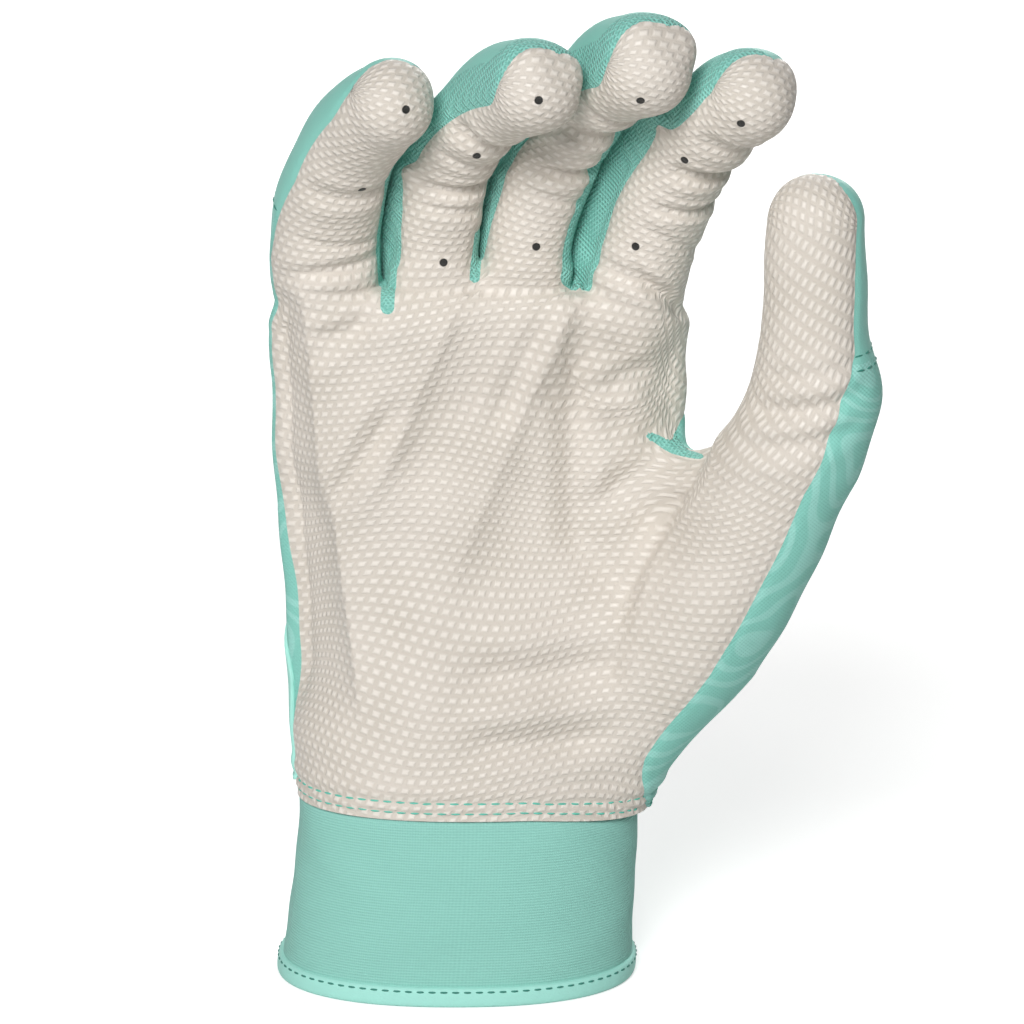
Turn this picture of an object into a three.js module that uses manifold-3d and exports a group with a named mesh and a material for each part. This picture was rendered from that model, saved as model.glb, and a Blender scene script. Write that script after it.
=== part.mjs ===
// Right-hand batting glove, standing on its cuff with the palm towards -Y and the thumb towards +X.
// Millimetres and degrees, +Z up. Every soft panel is a thin closed shell cut like its pattern piece.
import * as THREE from 'three';
import { mergeVertices } from 'three/addons/utils/BufferGeometryUtils.js';
import Module from 'manifold-3d';

const wasm = await Module();
wasm.setup();

// Thicknesses and clearances
const WALL = 1.2;
const GAP = 0.3;
const FLEX_EDGE = 2;

// Cuff
const CUFF_HEIGHT = 42;
const HEM_HEIGHT = 4.5;
const HEM_PROUD = 0.8;
const VENT_WIDTH = 6;
const VENT_LAP = 8;
const VENT_INSERT_THICKNESS = 1;
const VENT_INSERT_MARGIN = 1;

// Closure strap across the back of the cuff
const STRAP_HEIGHT = 27;
const STRAP_BOTTOM = 9;
const STRAP_THICKNESS = 1.5;
const STRAP_ROOT_X = 17;
const STRAP_TIP_X = -27;
const ANCHOR_LENGTH = 13;
const PULL_TAB_LENGTH = 8;
const PULL_TAB_INSET = 3;
const TAPE_THICKNESS = 0.8;
const TAPE_MARGIN = 2.5;
const TAPE_START_X = -7;

// Hand: breadth across the knuckles and its middle, height of the knuckle line, rise of the webs above it,
// the shape of a section, its ease beside the outer fingers, and how its top rounds over to the webs
const PALM_BREADTH = 90.1;
const PALM_MIDDLE = 4.55;
const KNUCKLE_HEIGHT = 148;
const WEB_RISE = 10;
const SECTION_POWER = 2.3;
const HAND_EASE_LEFT = 2;
const HAND_EASE_RIGHT = 1.5;
const WEB_ROUNDING_START = 0.7;
const WEB_TOP_SHRINK = 0.35;
const MOUTH_DEPTH = 54;
const WRIST_DEPTH = 48;
const HEEL_DEPTH = 43;
const PALM_DEPTH = 37;
const UPPER_PALM_DEPTH = 32;
const KNUCKLE_DEPTH = 25;
const WEB_DEPTH = 22;
const HEEL_PATCH_BOTTOM = 46;
const HEEL_PATCH_TOP = 82;
const HEEL_PATCH_THICKNESS = 0.8;
const HEEL_PATCH_START = 96;
const HEEL_PATCH_END = 138;

// Finger webs: clear width between neighbouring finger roots, and the strip that each fourchette covers
const WEB_LITTLE_RING = 3.2;
const WEB_RING_MIDDLE = 0.9;
const WEB_MIDDLE_INDEX = 3.3;
const FOURCHETTE_OVERLAP = 4.5;
const FOURCHETTE_DROP = 6;
const FOURCHETTE_ANGLE = 45;

// Ranges of the joints, from the resting curl
const KNUCKLE_FLEX = 40;
const KNUCKLE_EXTEND = 15;
const MIDDLE_FLEX = 45;
const MIDDLE_EXTEND = 20;
const THUMB_BASE_FLEX = 20;
const THUMB_BASE_EXTEND = 12;
const THUMB_TIP_FLEX = 40;
const THUMB_TIP_EXTEND = 15;

// Digits. Bones are [length, tilt towards the palm, lean towards the thumb]; half widths are at the root,
// at the base joint, at the upper joint and at the tip, and those of the fingers are fitted to the palm's
// breadth; pad is the way the finger pad faces; seams are the angles from the pad to the leather's edge on
// the little-finger side and on the thumb side. The thumb's root stands inside the hand's edge, and the
// thumb swells, at a distance up its path, to the ball of the thumb.
const DEPTH_RATIO = 0.95;
const THUMB_ROOT_HEIGHT = 43.5;
const THUMB_ROOT_INSET = 18.6;
const LITTLE = {
  name: 'little', root: [-27.5, -2, -4], baseAt: 20, jointAt: 42,
  bones: [[12.7, 9, 1], [16.2, 11, 1], [17.1, 28, 13], [16.3, 42, 32], [8.1, 47, 46]],
  halves: [11, 11.1, 10.9, 9.4], pad: [0.33, -0.92, -0.12], seams: [70, 70], fourchettes: [1],
};
const RING = {
  name: 'ring', root: [0, -4, -1.4], baseAt: 20, jointAt: 46,
  bones: [[12.4, 5, 1], [14.7, 8, 4], [15.6, 19, 11], [18.1, 42, 33], [19.6, 55, 61]],
  halves: [8.7, 8.8, 9.7, 9.3], pad: [0.35, -0.9, -0.3], seams: [70, 70], fourchettes: [-1, 1],
};
const MIDDLE = {
  name: 'middle', root: [0, -4, 0.8], baseAt: 20, jointAt: 48,
  bones: [[12.4, 5, 5], [15, 8, 11], [17.6, 17, 19], [19.3, 38, 34], [15.7, 56, 59]],
  halves: [8.9, 9.0, 10.1, 9.9], pad: [0.35, -0.9, -0.3], seams: [70, 70], fourchettes: [-1, 1],
};
const INDEX = {
  name: 'index', root: [0, -5, -1.2], baseAt: 20, jointAt: 45,
  bones: [[13.7, 4, 10], [16.1, 11, 17], [16.8, 25, 23], [15.9, 39, 36], [7, 46, 52]],
  halves: [11, 10.8, 10.4, 9.9], pad: [0.33, -0.9, -0.25], seams: [70, 110], fourchettes: [-1],
};
const THUMB = {
  name: 'thumb', root: [0, -3, THUMB_ROOT_HEIGHT - KNUCKLE_HEIGHT], baseAt: 92.5, jointAt: 119.5,
  bones: [[41.2, 7, 30], [26.7, 13, 27], [24.5, 14, 21], [17.7, 10, 14], [17.4, 7, 1], [17.2, 7, -1]],
  halves: [8, 14.8, 11.4, 10.2], swell: [42, 16.3], pad: [-0.3, -0.95, 0], seams: [78, 78], fourchettes: [],
};
const FINGERS = [LITTLE, RING, MIDDLE, INDEX];
const WEBS = [WEB_LITTLE_RING, WEB_RING_MIDDLE, WEB_MIDDLE_INDEX];

// Faceting
const SECTION_COLUMNS = 26;
const DIGIT_COLUMNS = 16;
const PANEL_STEP = 8;
const SOLVER_STEPS = 24;
const SOLVER_REACH = 2.5;
const ROOT_ROWS = 4;
const SEAM_ROWS = 12;
const TAPE_COLUMNS = 5;

// Finishes
const CREAM = new THREE.MeshStandardMaterial({ color: 0xded6cc, roughness: 0.6, metalness: 0 });
const MINT = new THREE.MeshStandardMaterial({ color: 0x86d0bf, roughness: 0.7, metalness: 0 });
const MINT_KNIT = new THREE.MeshStandardMaterial({ color: 0x7fcdbc, roughness: 0.9, metalness: 0 });
const PALE_MINT = new THREE.MeshStandardMaterial({ color: 0xa0e6d7, roughness: 0.75, metalness: 0 });
const GREY_TAPE = new THREE.MeshStandardMaterial({ color: 0xbfc8c6, roughness: 0.95, metalness: 0 });

const degrees = THREE.MathUtils.degToRad;
const mix = THREE.MathUtils.lerp;

// The fingers share the palm's breadth, each root beside the one before it, a web apart.
const HAND_LEFT = PALM_MIDDLE - PALM_BREADTH / 2;
const HAND_RIGHT = PALM_MIDDLE + PALM_BREADTH / 2;
const fingerRoom = PALM_BREADTH - HAND_EASE_LEFT - HAND_EASE_RIGHT - WEBS.reduce((sum, web) => sum + web, 0);
const fit = fingerRoom / FINGERS.reduce((sum, finger) => sum + 2 * finger.halves[0], 0);
FINGERS.forEach((finger, i) => {
  finger.halves = finger.halves.map((half) => half * fit);
  const before = FINGERS[i - 1];
  const start = i > 0 ? before.root[0] + before.halves[0] + WEBS[i - 1] : HAND_LEFT + HAND_EASE_LEFT;
  finger.root[0] = start + finger.halves[0];
});
THUMB.root[0] = HAND_RIGHT - THUMB_ROOT_INSET;

// Stations up the hand: height, left edge, right edge, depth from palm to back, and middle in Y.
// Heights above the cuff are shares of the way up to the knuckles.
const upHand = (share) => mix(CUFF_HEIGHT, KNUCKLE_HEIGHT, share);
const STATIONS = [
  [0, HAND_LEFT, HAND_RIGHT - 10.1, MOUTH_DEPTH, 0],
  [CUFF_HEIGHT, HAND_LEFT + 4.5, HAND_RIGHT - 8.6, WRIST_DEPTH, 0],
  [upHand(0.21), HAND_LEFT + 3.1, HAND_RIGHT - 7.6, HEEL_DEPTH, 0],
  [upHand(0.47), HAND_LEFT + 1.7, HAND_RIGHT - 2.6, PALM_DEPTH, 1],
  [upHand(0.74), HAND_LEFT, HAND_RIGHT + 1, UPPER_PALM_DEPTH, 0],
  [KNUCKLE_HEIGHT, HAND_LEFT + 0.3, HAND_RIGHT, KNUCKLE_DEPTH, -3.5],
  [KNUCKLE_HEIGHT + WEB_RISE, HAND_LEFT + 0.6, HAND_RIGHT + 0.5, WEB_DEPTH, -5.5],
];
const station = new THREE.CubicInterpolant(
  STATIONS.map((row) => row[0]),
  STATIONS.flatMap((row) => row.slice(1)),
  4,
);

// A hand section at height z is a superellipse; angle 0 faces the palm and 90 degrees the thumb.
function sectionAt(z) {
  const [left, right, depth, middle] = station.evaluate(z);
  return { x: (left + right) / 2, y: middle, halfWidth: (right - left) / 2, halfDepth: depth / 2 };
}

function rounded(value) {
  return Math.sign(value) * Math.abs(value) ** (2 / SECTION_POWER);
}

// A point on the hand at a depth below its surface; shrink draws the section in towards the web line.
function onHand(z, angle, depth, shrink = 1) {
  const { x, y, halfWidth, halfDepth } = sectionAt(z);
  const across = Math.max(halfWidth * shrink - depth, 0.1);
  const through = Math.max(halfDepth * shrink - depth, 0.1);
  return new THREE.Vector3(x + across * rounded(Math.sin(angle)), y - through * rounded(Math.cos(angle)), z);
}

// The angle, on the back of the hand, at which a section reaches x.
function backAngle(z, x) {
  const { x: middle, halfWidth } = sectionAt(z);
  const share = THREE.MathUtils.clamp((x - middle) / halfWidth, -1, 1);
  return Math.PI - Math.sign(share) * Math.asin(Math.abs(share) ** (SECTION_POWER / 2));
}

// Closed meshes from grids of points, with doubled points merged and faces turned outwards.
function closedGeometry(points, triangles) {
  const position = new Float32Array(points.flatMap((p) => [p.x, p.y, p.z]));
  let geometry = new THREE.BufferGeometry();
  geometry.setAttribute('position', new THREE.BufferAttribute(position, 3));
  geometry.setIndex(triangles.flat());
  geometry = mergeVertices(geometry, 1e-3);
  const index = geometry.getIndex().array;
  const kept = [];
  for (let i = 0; i < index.length; i += 3) {
    const [a, b, c] = [index[i], index[i + 1], index[i + 2]];
    if (a !== b && b !== c && c !== a) {
      kept.push(a, b, c);
    }
  }
  if (signedVolume(geometry, kept) < 0) {
    kept.reverse();
  }
  geometry.setIndex(kept);
  geometry.computeVertexNormals();
  return geometry;
}

function signedVolume(geometry, index) {
  const corner = [new THREE.Vector3(), new THREE.Vector3(), new THREE.Vector3()];
  const position = geometry.getAttribute('position');
  let volume = 0;
  for (let i = 0; i < index.length; i += 3) {
    corner.forEach((point, k) => point.fromBufferAttribute(position, index[i + k]));
    volume += corner[0].dot(corner[1].clone().cross(corner[2])) / 6;
  }
  return volume;
}

// A panel: an outer and an inner grid of rows by columns, joined along its four edges.
// place(row, column, side) gives a point from shares 0 to 1 and side 0 (outer) or 1 (inner).
function panel(rows, columns, place, ring = false) {
  const points = [];
  const at = (side, i, j) => (side * (rows + 1) + i) * (columns + 1) + j;
  for (const side of [0, 1]) {
    for (let i = 0; i <= rows; i += 1) {
      for (let j = 0; j <= columns; j += 1) {
        points.push(place(i / rows, j / columns, side));
      }
    }
  }
  const triangles = [];
  const quad = (a, b, c, d) => triangles.push([a, b, c], [a, c, d]);
  for (let i = 0; i < rows; i += 1) {
    for (let j = 0; j < columns; j += 1) {
      quad(at(0, i, j), at(0, i, j + 1), at(0, i + 1, j + 1), at(0, i + 1, j));
      quad(at(1, i, j), at(1, i + 1, j), at(1, i + 1, j + 1), at(1, i, j + 1));
    }
  }
  for (let j = 0; j < columns; j += 1) {
    quad(at(1, 0, j), at(1, 0, j + 1), at(0, 0, j + 1), at(0, 0, j));
    quad(at(0, rows, j), at(0, rows, j + 1), at(1, rows, j + 1), at(1, rows, j));
  }
  if (!ring) {
    for (let i = 0; i < rows; i += 1) {
      quad(at(0, i, 0), at(0, i + 1, 0), at(1, i + 1, 0), at(1, i, 0));
      quad(at(1, i, columns), at(1, i + 1, columns), at(0, i + 1, columns), at(0, i, columns));
    }
  }
  return closedGeometry(points, triangles);
}

// A solid lofted through closed rings, capped at both ends.
function loft(rows, columns, place) {
  const points = [];
  for (let i = 0; i <= rows; i += 1) {
    for (let j = 0; j < columns; j += 1) {
      points.push(place(i / rows, (2 * Math.PI * j) / columns));
    }
  }
  const centre = (start) => {
    const sum = new THREE.Vector3();
    points.slice(start, start + columns).forEach((point) => sum.add(point));
    return sum.divideScalar(columns);
  };
  const bottom = points.length;
  points.push(centre(0), centre(rows * columns));
  const triangles = [];
  for (let j = 0; j < columns; j += 1) {
    const next = (j + 1) % columns;
    for (let i = 0; i < rows; i += 1) {
      const [a, b] = [i * columns + j, i * columns + next];
      triangles.push([a, b, b + columns], [a, b + columns, a + columns]);
    }
    triangles.push([next, j, bottom]);
    triangles.push([rows * columns + j, rows * columns + next, bottom + 1]);
  }
  return closedGeometry(points, triangles);
}

// Cutting and joining
function solid(geometry) {
  const bare = new THREE.BufferGeometry();
  bare.setAttribute('position', geometry.getAttribute('position').clone());
  bare.setIndex(geometry.getIndex() ? Array.from(geometry.getIndex().array) : null);
  const merged = mergeVertices(bare, 1e-4);
  return new wasm.Manifold(new wasm.Mesh({
    numProp: 3,
    vertProperties: Float32Array.from(merged.getAttribute('position').array),
    triVerts: Uint32Array.from(merged.getIndex().array),
  }));
}

function geometryOf(manifold) {
  const mesh = manifold.getMesh();
  const geometry = new THREE.BufferGeometry();
  geometry.setAttribute('position', new THREE.BufferAttribute(Float32Array.from(mesh.vertProperties), 3));
  geometry.setIndex(Array.from(mesh.triVerts));
  geometry.computeVertexNormals();
  return geometry;
}

function boxSolid(low, high) {
  const size = high.clone().sub(low);
  const box = new THREE.BoxGeometry(size.x, size.y, size.z);
  const middle = low.clone().add(high).divideScalar(2);
  box.deleteAttribute('normal');
  box.deleteAttribute('uv');
  return solid(box.translate(middle.x, middle.y, middle.z));
}

// Digits: a smooth path through the bones, and the width along it.
function prepare(digit) {
  const at = new THREE.Vector3(digit.root[0], digit.root[1], KNUCKLE_HEIGHT + digit.root[2]);
  const points = [at.clone()];
  for (const [length, tilt, lean] of digit.bones) {
    const [t, l] = [degrees(tilt), degrees(lean)];
    at.x += length * Math.cos(t) * Math.sin(l);
    at.y -= length * Math.sin(t);
    at.z += length * Math.cos(t) * Math.cos(l);
    points.push(at.clone());
  }
  const path = new THREE.CatmullRomCurve3(points, false, 'catmullrom', 0.5);
  path.arcLengthDivisions = 400;
  digit.path = path;
  digit.length = path.getLength();
  const [root, base, upper, tip] = digit.halves;
  const widths = [[0, root], [digit.baseAt, base], [digit.jointAt, upper], [digit.length, tip]];
  if (digit.swell) {
    widths.splice(1, 0, digit.swell);
  }
  digit.half = new THREE.LinearInterpolant(widths.map((w) => w[0]), widths.map((w) => w[1]), 1);
  digit.padWay = new THREE.Vector3(...digit.pad);
  digit.tip = digit.halves[3];
}
[...FINGERS, THUMB].forEach(prepare);

// The path's point, its forward way, the way of the pad and the way to the thumb side.
function frameAt(digit, s) {
  const share = THREE.MathUtils.clamp(s / digit.length, 0, 1);
  const centre = digit.path.getPointAt(share);
  const along = digit.path.getTangentAt(share);
  const pad = digit.padWay.clone().addScaledVector(along, -digit.padWay.dot(along)).normalize();
  return { centre, along, pad, side: along.clone().cross(pad) };
}

// A point on a digit at path distance s, turned by angle from the pad, at a depth below the surface.
// Past the path's end, s runs on round a domed tip.
function onDigit(digit, s, angle, depth) {
  const { centre, along, pad, side } = frameAt(digit, s);
  const half = digit.half.evaluate(Math.min(s, digit.length))[0];
  const over = Math.max(s - digit.length, 0) / digit.tip;
  const across = (half - depth) * Math.cos(over) * Math.sin(angle);
  const through = (half * DEPTH_RATIO - depth) * Math.cos(over) * Math.cos(angle);
  const ahead = (digit.tip - depth) * Math.sin(over);
  return centre.addScaledVector(side, across).addScaledVector(pad, through).addScaledVector(along, ahead);
}

// Joint of a digit: its place on the path and how far it closes towards the pad and opens to the back.
function joint(digit, which) {
  const thumb = digit === THUMB;
  const base = which === 'base';
  const fingerRange = base ? [KNUCKLE_FLEX, KNUCKLE_EXTEND] : [MIDDLE_FLEX, MIDDLE_EXTEND];
  const thumbRange = base ? [THUMB_BASE_FLEX, THUMB_BASE_EXTEND] : [THUMB_TIP_FLEX, THUMB_TIP_EXTEND];
  const [flex, extend] = thumb ? thumbRange : fingerRange;
  const s = base ? digit.baseAt : digit.jointAt;
  return { digit, s, flex, extend, frame: frameAt(digit, s) };
}

// Path distance at which the skin, at an angle, leaves the double wedge that the joint needs to turn in.
function wedgeEdge({ digit, s, flex, extend, frame }, angle, way, clearance) {
  const outside = (distance) => {
    const offset = onDigit(digit, distance, angle, 0).sub(frame.centre);
    const toPad = offset.dot(frame.pad);
    const needed = toPad > 0 ? toPad * Math.tan(degrees(flex / 2)) : -toPad * Math.tan(degrees(extend / 2));
    return way * offset.dot(frame.along) - needed - clearance;
  };
  let [near, far] = [s, s + way * SOLVER_REACH * digit.half.evaluate(s)[0]];
  for (let i = 0; i < SOLVER_STEPS; i += 1) {
    const middle = (near + far) / 2;
    if (outside(middle) > 0) {
      far = middle;
    } else {
      near = middle;
    }
  }
  return (near + far) / 2;
}

const rigidEdge = (hinge, angle, way) => wedgeEdge(hinge, angle, way, FLEX_EDGE + GAP);
const bandEdge = (hinge, angle, way) => wedgeEdge(hinge, angle, way, FLEX_EDGE);

// Angles of the leather's edges at s: straight seams that round off into a tongue over the fingertip.
const TONGUE_BACK = 5;
const TONGUE_OVER = degrees(58);
function leatherEdge(digit, s, side) {
  const seam = degrees(side < 0 ? digit.seams[0] : digit.seams[1]);
  const start = digit.length - TONGUE_BACK;
  const end = digit.length + digit.tip * TONGUE_OVER;
  const share = THREE.MathUtils.clamp((s - start) / (end - start), 0, 1);
  return side * seam * Math.sqrt(1 - share * share);
}

// Angle of the edge between a side wall and the back; the wall tapers to a point before the fingertip.
const FOURCHETTE_TAPER = 6;
function backEdge(digit, s, side) {
  const start = digit.length - TONGUE_BACK - FOURCHETTE_TAPER;
  const share = THREE.MathUtils.clamp((s - start) / FOURCHETTE_TAPER, 0, 1);
  const width = digit.fourchettes.includes(side) ? degrees(FOURCHETTE_ANGLE) * (1 - share) : 0;
  return leatherEdge(digit, s, side) + side * width;
}

function seamAllowance(digit, s) {
  return GAP / 2 / digit.half.evaluate(Math.min(s, digit.length))[0];
}

function steps(length) {
  return Math.max(2, Math.ceil(length / PANEL_STEP));
}

// Rigid panels between the two joints of a digit, from one angle to another.
function lowerPanel(digit, from, to) {
  const [base, upper] = [joint(digit, 'base'), joint(digit, 'upper')];
  const columns = Math.ceil((DIGIT_COLUMNS * (to - from)) / (2 * Math.PI)) + 1;
  return panel(steps(upper.s - base.s) - 1, columns, (row, column, side) => {
    const angle = mix(from, to, column);
    const s = mix(rigidEdge(base, angle, 1), rigidEdge(upper, angle, -1), row);
    return onDigit(digit, s, angle, side * WALL);
  });
}

// Path distances of the rows above the upper joint, shared by the panels that meet along a seam: the
// straight part, the taper of the side walls, the tongue of the leather and the dome of the tip.
const STRAIGHT_ROWS = 2;
const TONGUE_ROWS = 4;
function upperStations(digit) {
  const { straightEnd, wallEnd, tongueStart, tongueEnd, pole } = upperEnds(digit);
  const tongue = [];
  for (let i = 1; i <= TONGUE_ROWS; i += 1) {
    tongue.push(mix(tongueStart, tongueEnd, Math.sin(((i / TONGUE_ROWS) * Math.PI) / 2)));
  }
  return [straightEnd, wallEnd, tongueStart, ...tongue, (tongueEnd + pole) / 2, pole];
}

function upperEnds(digit) {
  const tongueStart = digit.length - TONGUE_BACK;
  return {
    straightEnd: tongueStart - FOURCHETTE_TAPER,
    wallEnd: tongueStart - FOURCHETTE_TAPER / 4,
    tongueStart,
    tongueEnd: digit.length + digit.tip * TONGUE_OVER,
    pole: digit.length + (digit.tip * Math.PI) / 2,
  };
}

// Panels above the upper joint: angles come from the two edges at each s, and rows run up to the end.
function upperPanel(digit, columns, end, firstEdge, lastEdge) {
  const upper = joint(digit, 'upper');
  const stations = upperStations(digit).filter((s) => s <= end + GAP / 2);
  const rows = STRAIGHT_ROWS + stations.length - 1;
  return panel(rows, columns, (row, column, side) => {
    const i = Math.round(row * rows);
    const start = rigidEdge(upper, mix(firstEdge(upper.s), lastEdge(upper.s), column), 1);
    const straight = mix(start, stations[0], Math.min(i / STRAIGHT_ROWS, 1));
    const s = i <= STRAIGHT_ROWS ? straight : stations[i - STRAIGHT_ROWS];
    return onDigit(digit, s, mix(firstEdge(s), lastEdge(s), column), side * WALL);
  });
}

function flexBand(digit, which) {
  const hinge = joint(digit, which);
  return panel(2, DIGIT_COLUMNS, (row, column, side) => {
    const angle = 2 * Math.PI * column;
    const s = mix(bandEdge(hinge, angle, -1), bandEdge(hinge, angle, 1), row);
    return onDigit(digit, s, angle, side * WALL);
  }, true);
}

// Hand shell: the hand and the finger roots joined, hollowed, and opened towards the thumb.
const HAND_BOTTOM = CUFF_HEIGHT + GAP;
const HAND_TOP = KNUCKLE_HEIGHT + WEB_RISE;
const HAND_ROWS = 13;
function handLoft(depth, from) {
  return loft(HAND_ROWS, SECTION_COLUMNS, (row, angle) => {
    const straight = Math.min(row / WEB_ROUNDING_START, 1);
    const over = (Math.max(row - WEB_ROUNDING_START, 0) / (1 - WEB_ROUNDING_START)) * (Math.PI / 2);
    const z = mix(from, KNUCKLE_HEIGHT, straight) + (WEB_RISE - depth) * Math.sin(over);
    return onHand(z, angle, depth, mix(WEB_TOP_SHRINK, 1, Math.cos(over)));
  });
}

function rootLoft(digit, depth, end) {
  return loft(ROOT_ROWS, DIGIT_COLUMNS, (row, angle) => (
    onDigit(digit, mix(0, end(angle), row), angle, depth)
  ));
}

const handInside = () => solid(handLoft(WALL, HAND_BOTTOM - 2 * WALL));
const handOutside = (clearance, bottom) => solid(handLoft(-clearance, bottom));
const THUMB_ROOT_ROWS = 8;
function thumbInside() {
  const end = joint(THUMB, 'base').s;
  return solid(loft(THUMB_ROOT_ROWS, DIGIT_COLUMNS, (row, angle) => (
    onDigit(THUMB, mix(0, end, row), angle, WALL + GAP)
  )));
}

function handWall() {
  let outside = handOutside(0, HAND_BOTTOM);
  let inside = handInside().add(thumbInside());
  for (const finger of FINGERS) {
    const base = joint(finger, 'base');
    outside = outside.add(solid(rootLoft(finger, 0, (angle) => rigidEdge(base, angle, -1))));
    inside = inside.add(solid(rootLoft(finger, WALL, () => base.s + WALL)));
  }
  return outside.subtract(inside);
}

// Everything in front of the side seam, which follows the middle of the hand up its height.
const REACH = 150;
function palmSide(offset) {
  const outline = new THREE.Shape();
  outline.moveTo(-REACH, 0);
  for (let i = 0; i <= SEAM_ROWS; i += 1) {
    const z = (HAND_TOP * i) / SEAM_ROWS;
    outline.lineTo(sectionAt(z).y + offset, z);
  }
  outline.lineTo(sectionAt(HAND_TOP).y + offset, 2 * REACH);
  outline.lineTo(-REACH, 2 * REACH);
  outline.closePath();
  const slab = new THREE.ExtrudeGeometry(outline, { depth: 2 * REACH, bevelEnabled: false });
  slab.deleteAttribute('normal');
  slab.deleteAttribute('uv');
  const turn = new THREE.Matrix4().makeBasis(
    new THREE.Vector3(0, 1, 0), new THREE.Vector3(0, 0, 1), new THREE.Vector3(1, 0, 0),
  );
  return solid(slab.applyMatrix4(turn).translate(-REACH, 0, 0));
}

// The strip at each crotch, cut from the hand shell, that a fourchette covers.
function crotchBlock(i, clearance) {
  const [left, right] = [FINGERS[i], FINGERS[i + 1]];
  const top = Math.max(left.baseAt, right.baseAt);
  const mid = (digit, side) => onDigit(digit, top / 2, side * (Math.PI / 2), 0);
  const x = (mid(left, 1).x + mid(right, -1).x) / 2;
  const half = WEBS[i] / 2 + FOURCHETTE_OVERLAP + clearance;
  const low = new THREE.Vector3(x - half, -REACH, HAND_TOP - FOURCHETTE_DROP - clearance);
  return boxSolid(low, new THREE.Vector3(x + half, REACH, 2 * REACH));
}

// Pieces of the cuff, wrapped round the hand's section between two angles.
function wrap(from, to, bottom, top, outer, inner, columns) {
  const rows = steps((top - bottom) / 2);
  return panel(rows, columns, (row, column, side) => {
    const z = mix(bottom, top, row);
    const [start, end] = [from(z), to(z)];
    return onHand(z, mix(start, end, column), side === 0 ? outer : inner);
  });
}

const group = new THREE.Group();
function addNode(name, geometry, material) {
  const mesh = new THREE.Mesh(geometry, material);
  mesh.name = name;
  group.add(mesh);
}

function addHand() {
  const wall = handWall();
  const clear = GAP / 2;
  let panels = wall;
  for (let i = 0; i < WEBS.length; i += 1) {
    const name = `fourchette_${FINGERS[i].name}_${FINGERS[i + 1].name}`;
    addNode(name, geometryOf(wall.intersect(crotchBlock(i, -clear))), MINT_KNIT);
    panels = panels.subtract(crotchBlock(i, clear));
  }
  addNode('palm_leather', geometryOf(panels.intersect(palmSide(-clear))), CREAM);
  addNode('back_panel', geometryOf(panels.subtract(palmSide(clear))), MINT);
  addNode('heel_patch', wrap(
    () => -degrees(HEEL_PATCH_START), () => -degrees(HEEL_PATCH_END), HEEL_PATCH_BOTTOM, HEEL_PATCH_TOP,
    -GAP - HEEL_PATCH_THICKNESS, -GAP, 6,
  ), PALE_MINT);
}

function addThumbBase() {
  const base = joint(THUMB, 'base');
  const hand = handOutside(GAP, 0);
  const [left, right] = [leatherEdge(THUMB, 0, -1), leatherEdge(THUMB, 0, 1)];
  const side = (from, to) => panel(THUMB_ROOT_ROWS, DIGIT_COLUMNS / 2, (row, column, inner) => {
    const angle = mix(from, to, column);
    return onDigit(THUMB, mix(0, rigidEdge(base, angle, -1), row), angle, inner * WALL);
  });
  const allowance = seamAllowance(THUMB, 0);
  const leather = side(left + allowance, right - allowance);
  const back = side(right + allowance, left + 2 * Math.PI - allowance);
  addNode('thumb_base_leather', geometryOf(solid(leather).subtract(hand)), CREAM);
  addNode('thumb_base_back', geometryOf(solid(back).subtract(hand)), MINT);
}

function addDigit(digit) {
  const { name } = digit;
  const seam = (side) => leatherEdge(digit, digit.baseAt, side);
  const allowance = seamAllowance(digit, digit.baseAt);
  addNode(`${name}_base_flex`, flexBand(digit, 'base'), CREAM);
  addNode(`${name}_lower_leather`, lowerPanel(digit, seam(-1) + allowance, seam(1) - allowance), CREAM);
  const backEnd = seam(-1) + 2 * Math.PI - allowance;
  addNode(`${name}_lower_back`, lowerPanel(digit, seam(1) + allowance, backEnd), MINT);
  addNode(`${name}_upper_flex`, flexBand(digit, 'upper'), CREAM);
  const { wallEnd, tongueEnd, pole } = upperEnds(digit);
  const inset = (s) => seamAllowance(digit, s);
  const half = DIGIT_COLUMNS / 2;
  addNode(`${name}_upper_leather`, upperPanel(
    digit, half, tongueEnd,
    (s) => Math.min(leatherEdge(digit, s, -1) + inset(s), 0),
    (s) => Math.max(leatherEdge(digit, s, 1) - inset(s), 0),
  ), CREAM);
  addNode(`${name}_upper_back`, upperPanel(
    digit, half + 2, pole,
    (s) => backEdge(digit, s, 1) + inset(s),
    (s) => backEdge(digit, s, -1) + 2 * Math.PI - inset(s),
  ), MINT);
  for (const side of digit.fourchettes) {
    addNode(`${name}_fourchette_${side < 0 ? 'outer' : 'inner'}`, upperPanel(
      digit, 2, wallEnd,
      (s) => leatherEdge(digit, s, side) + side * inset(s),
      (s) => backEdge(digit, s, side) - side * inset(s),
    ), MINT_KNIT);
  }
}

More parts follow.
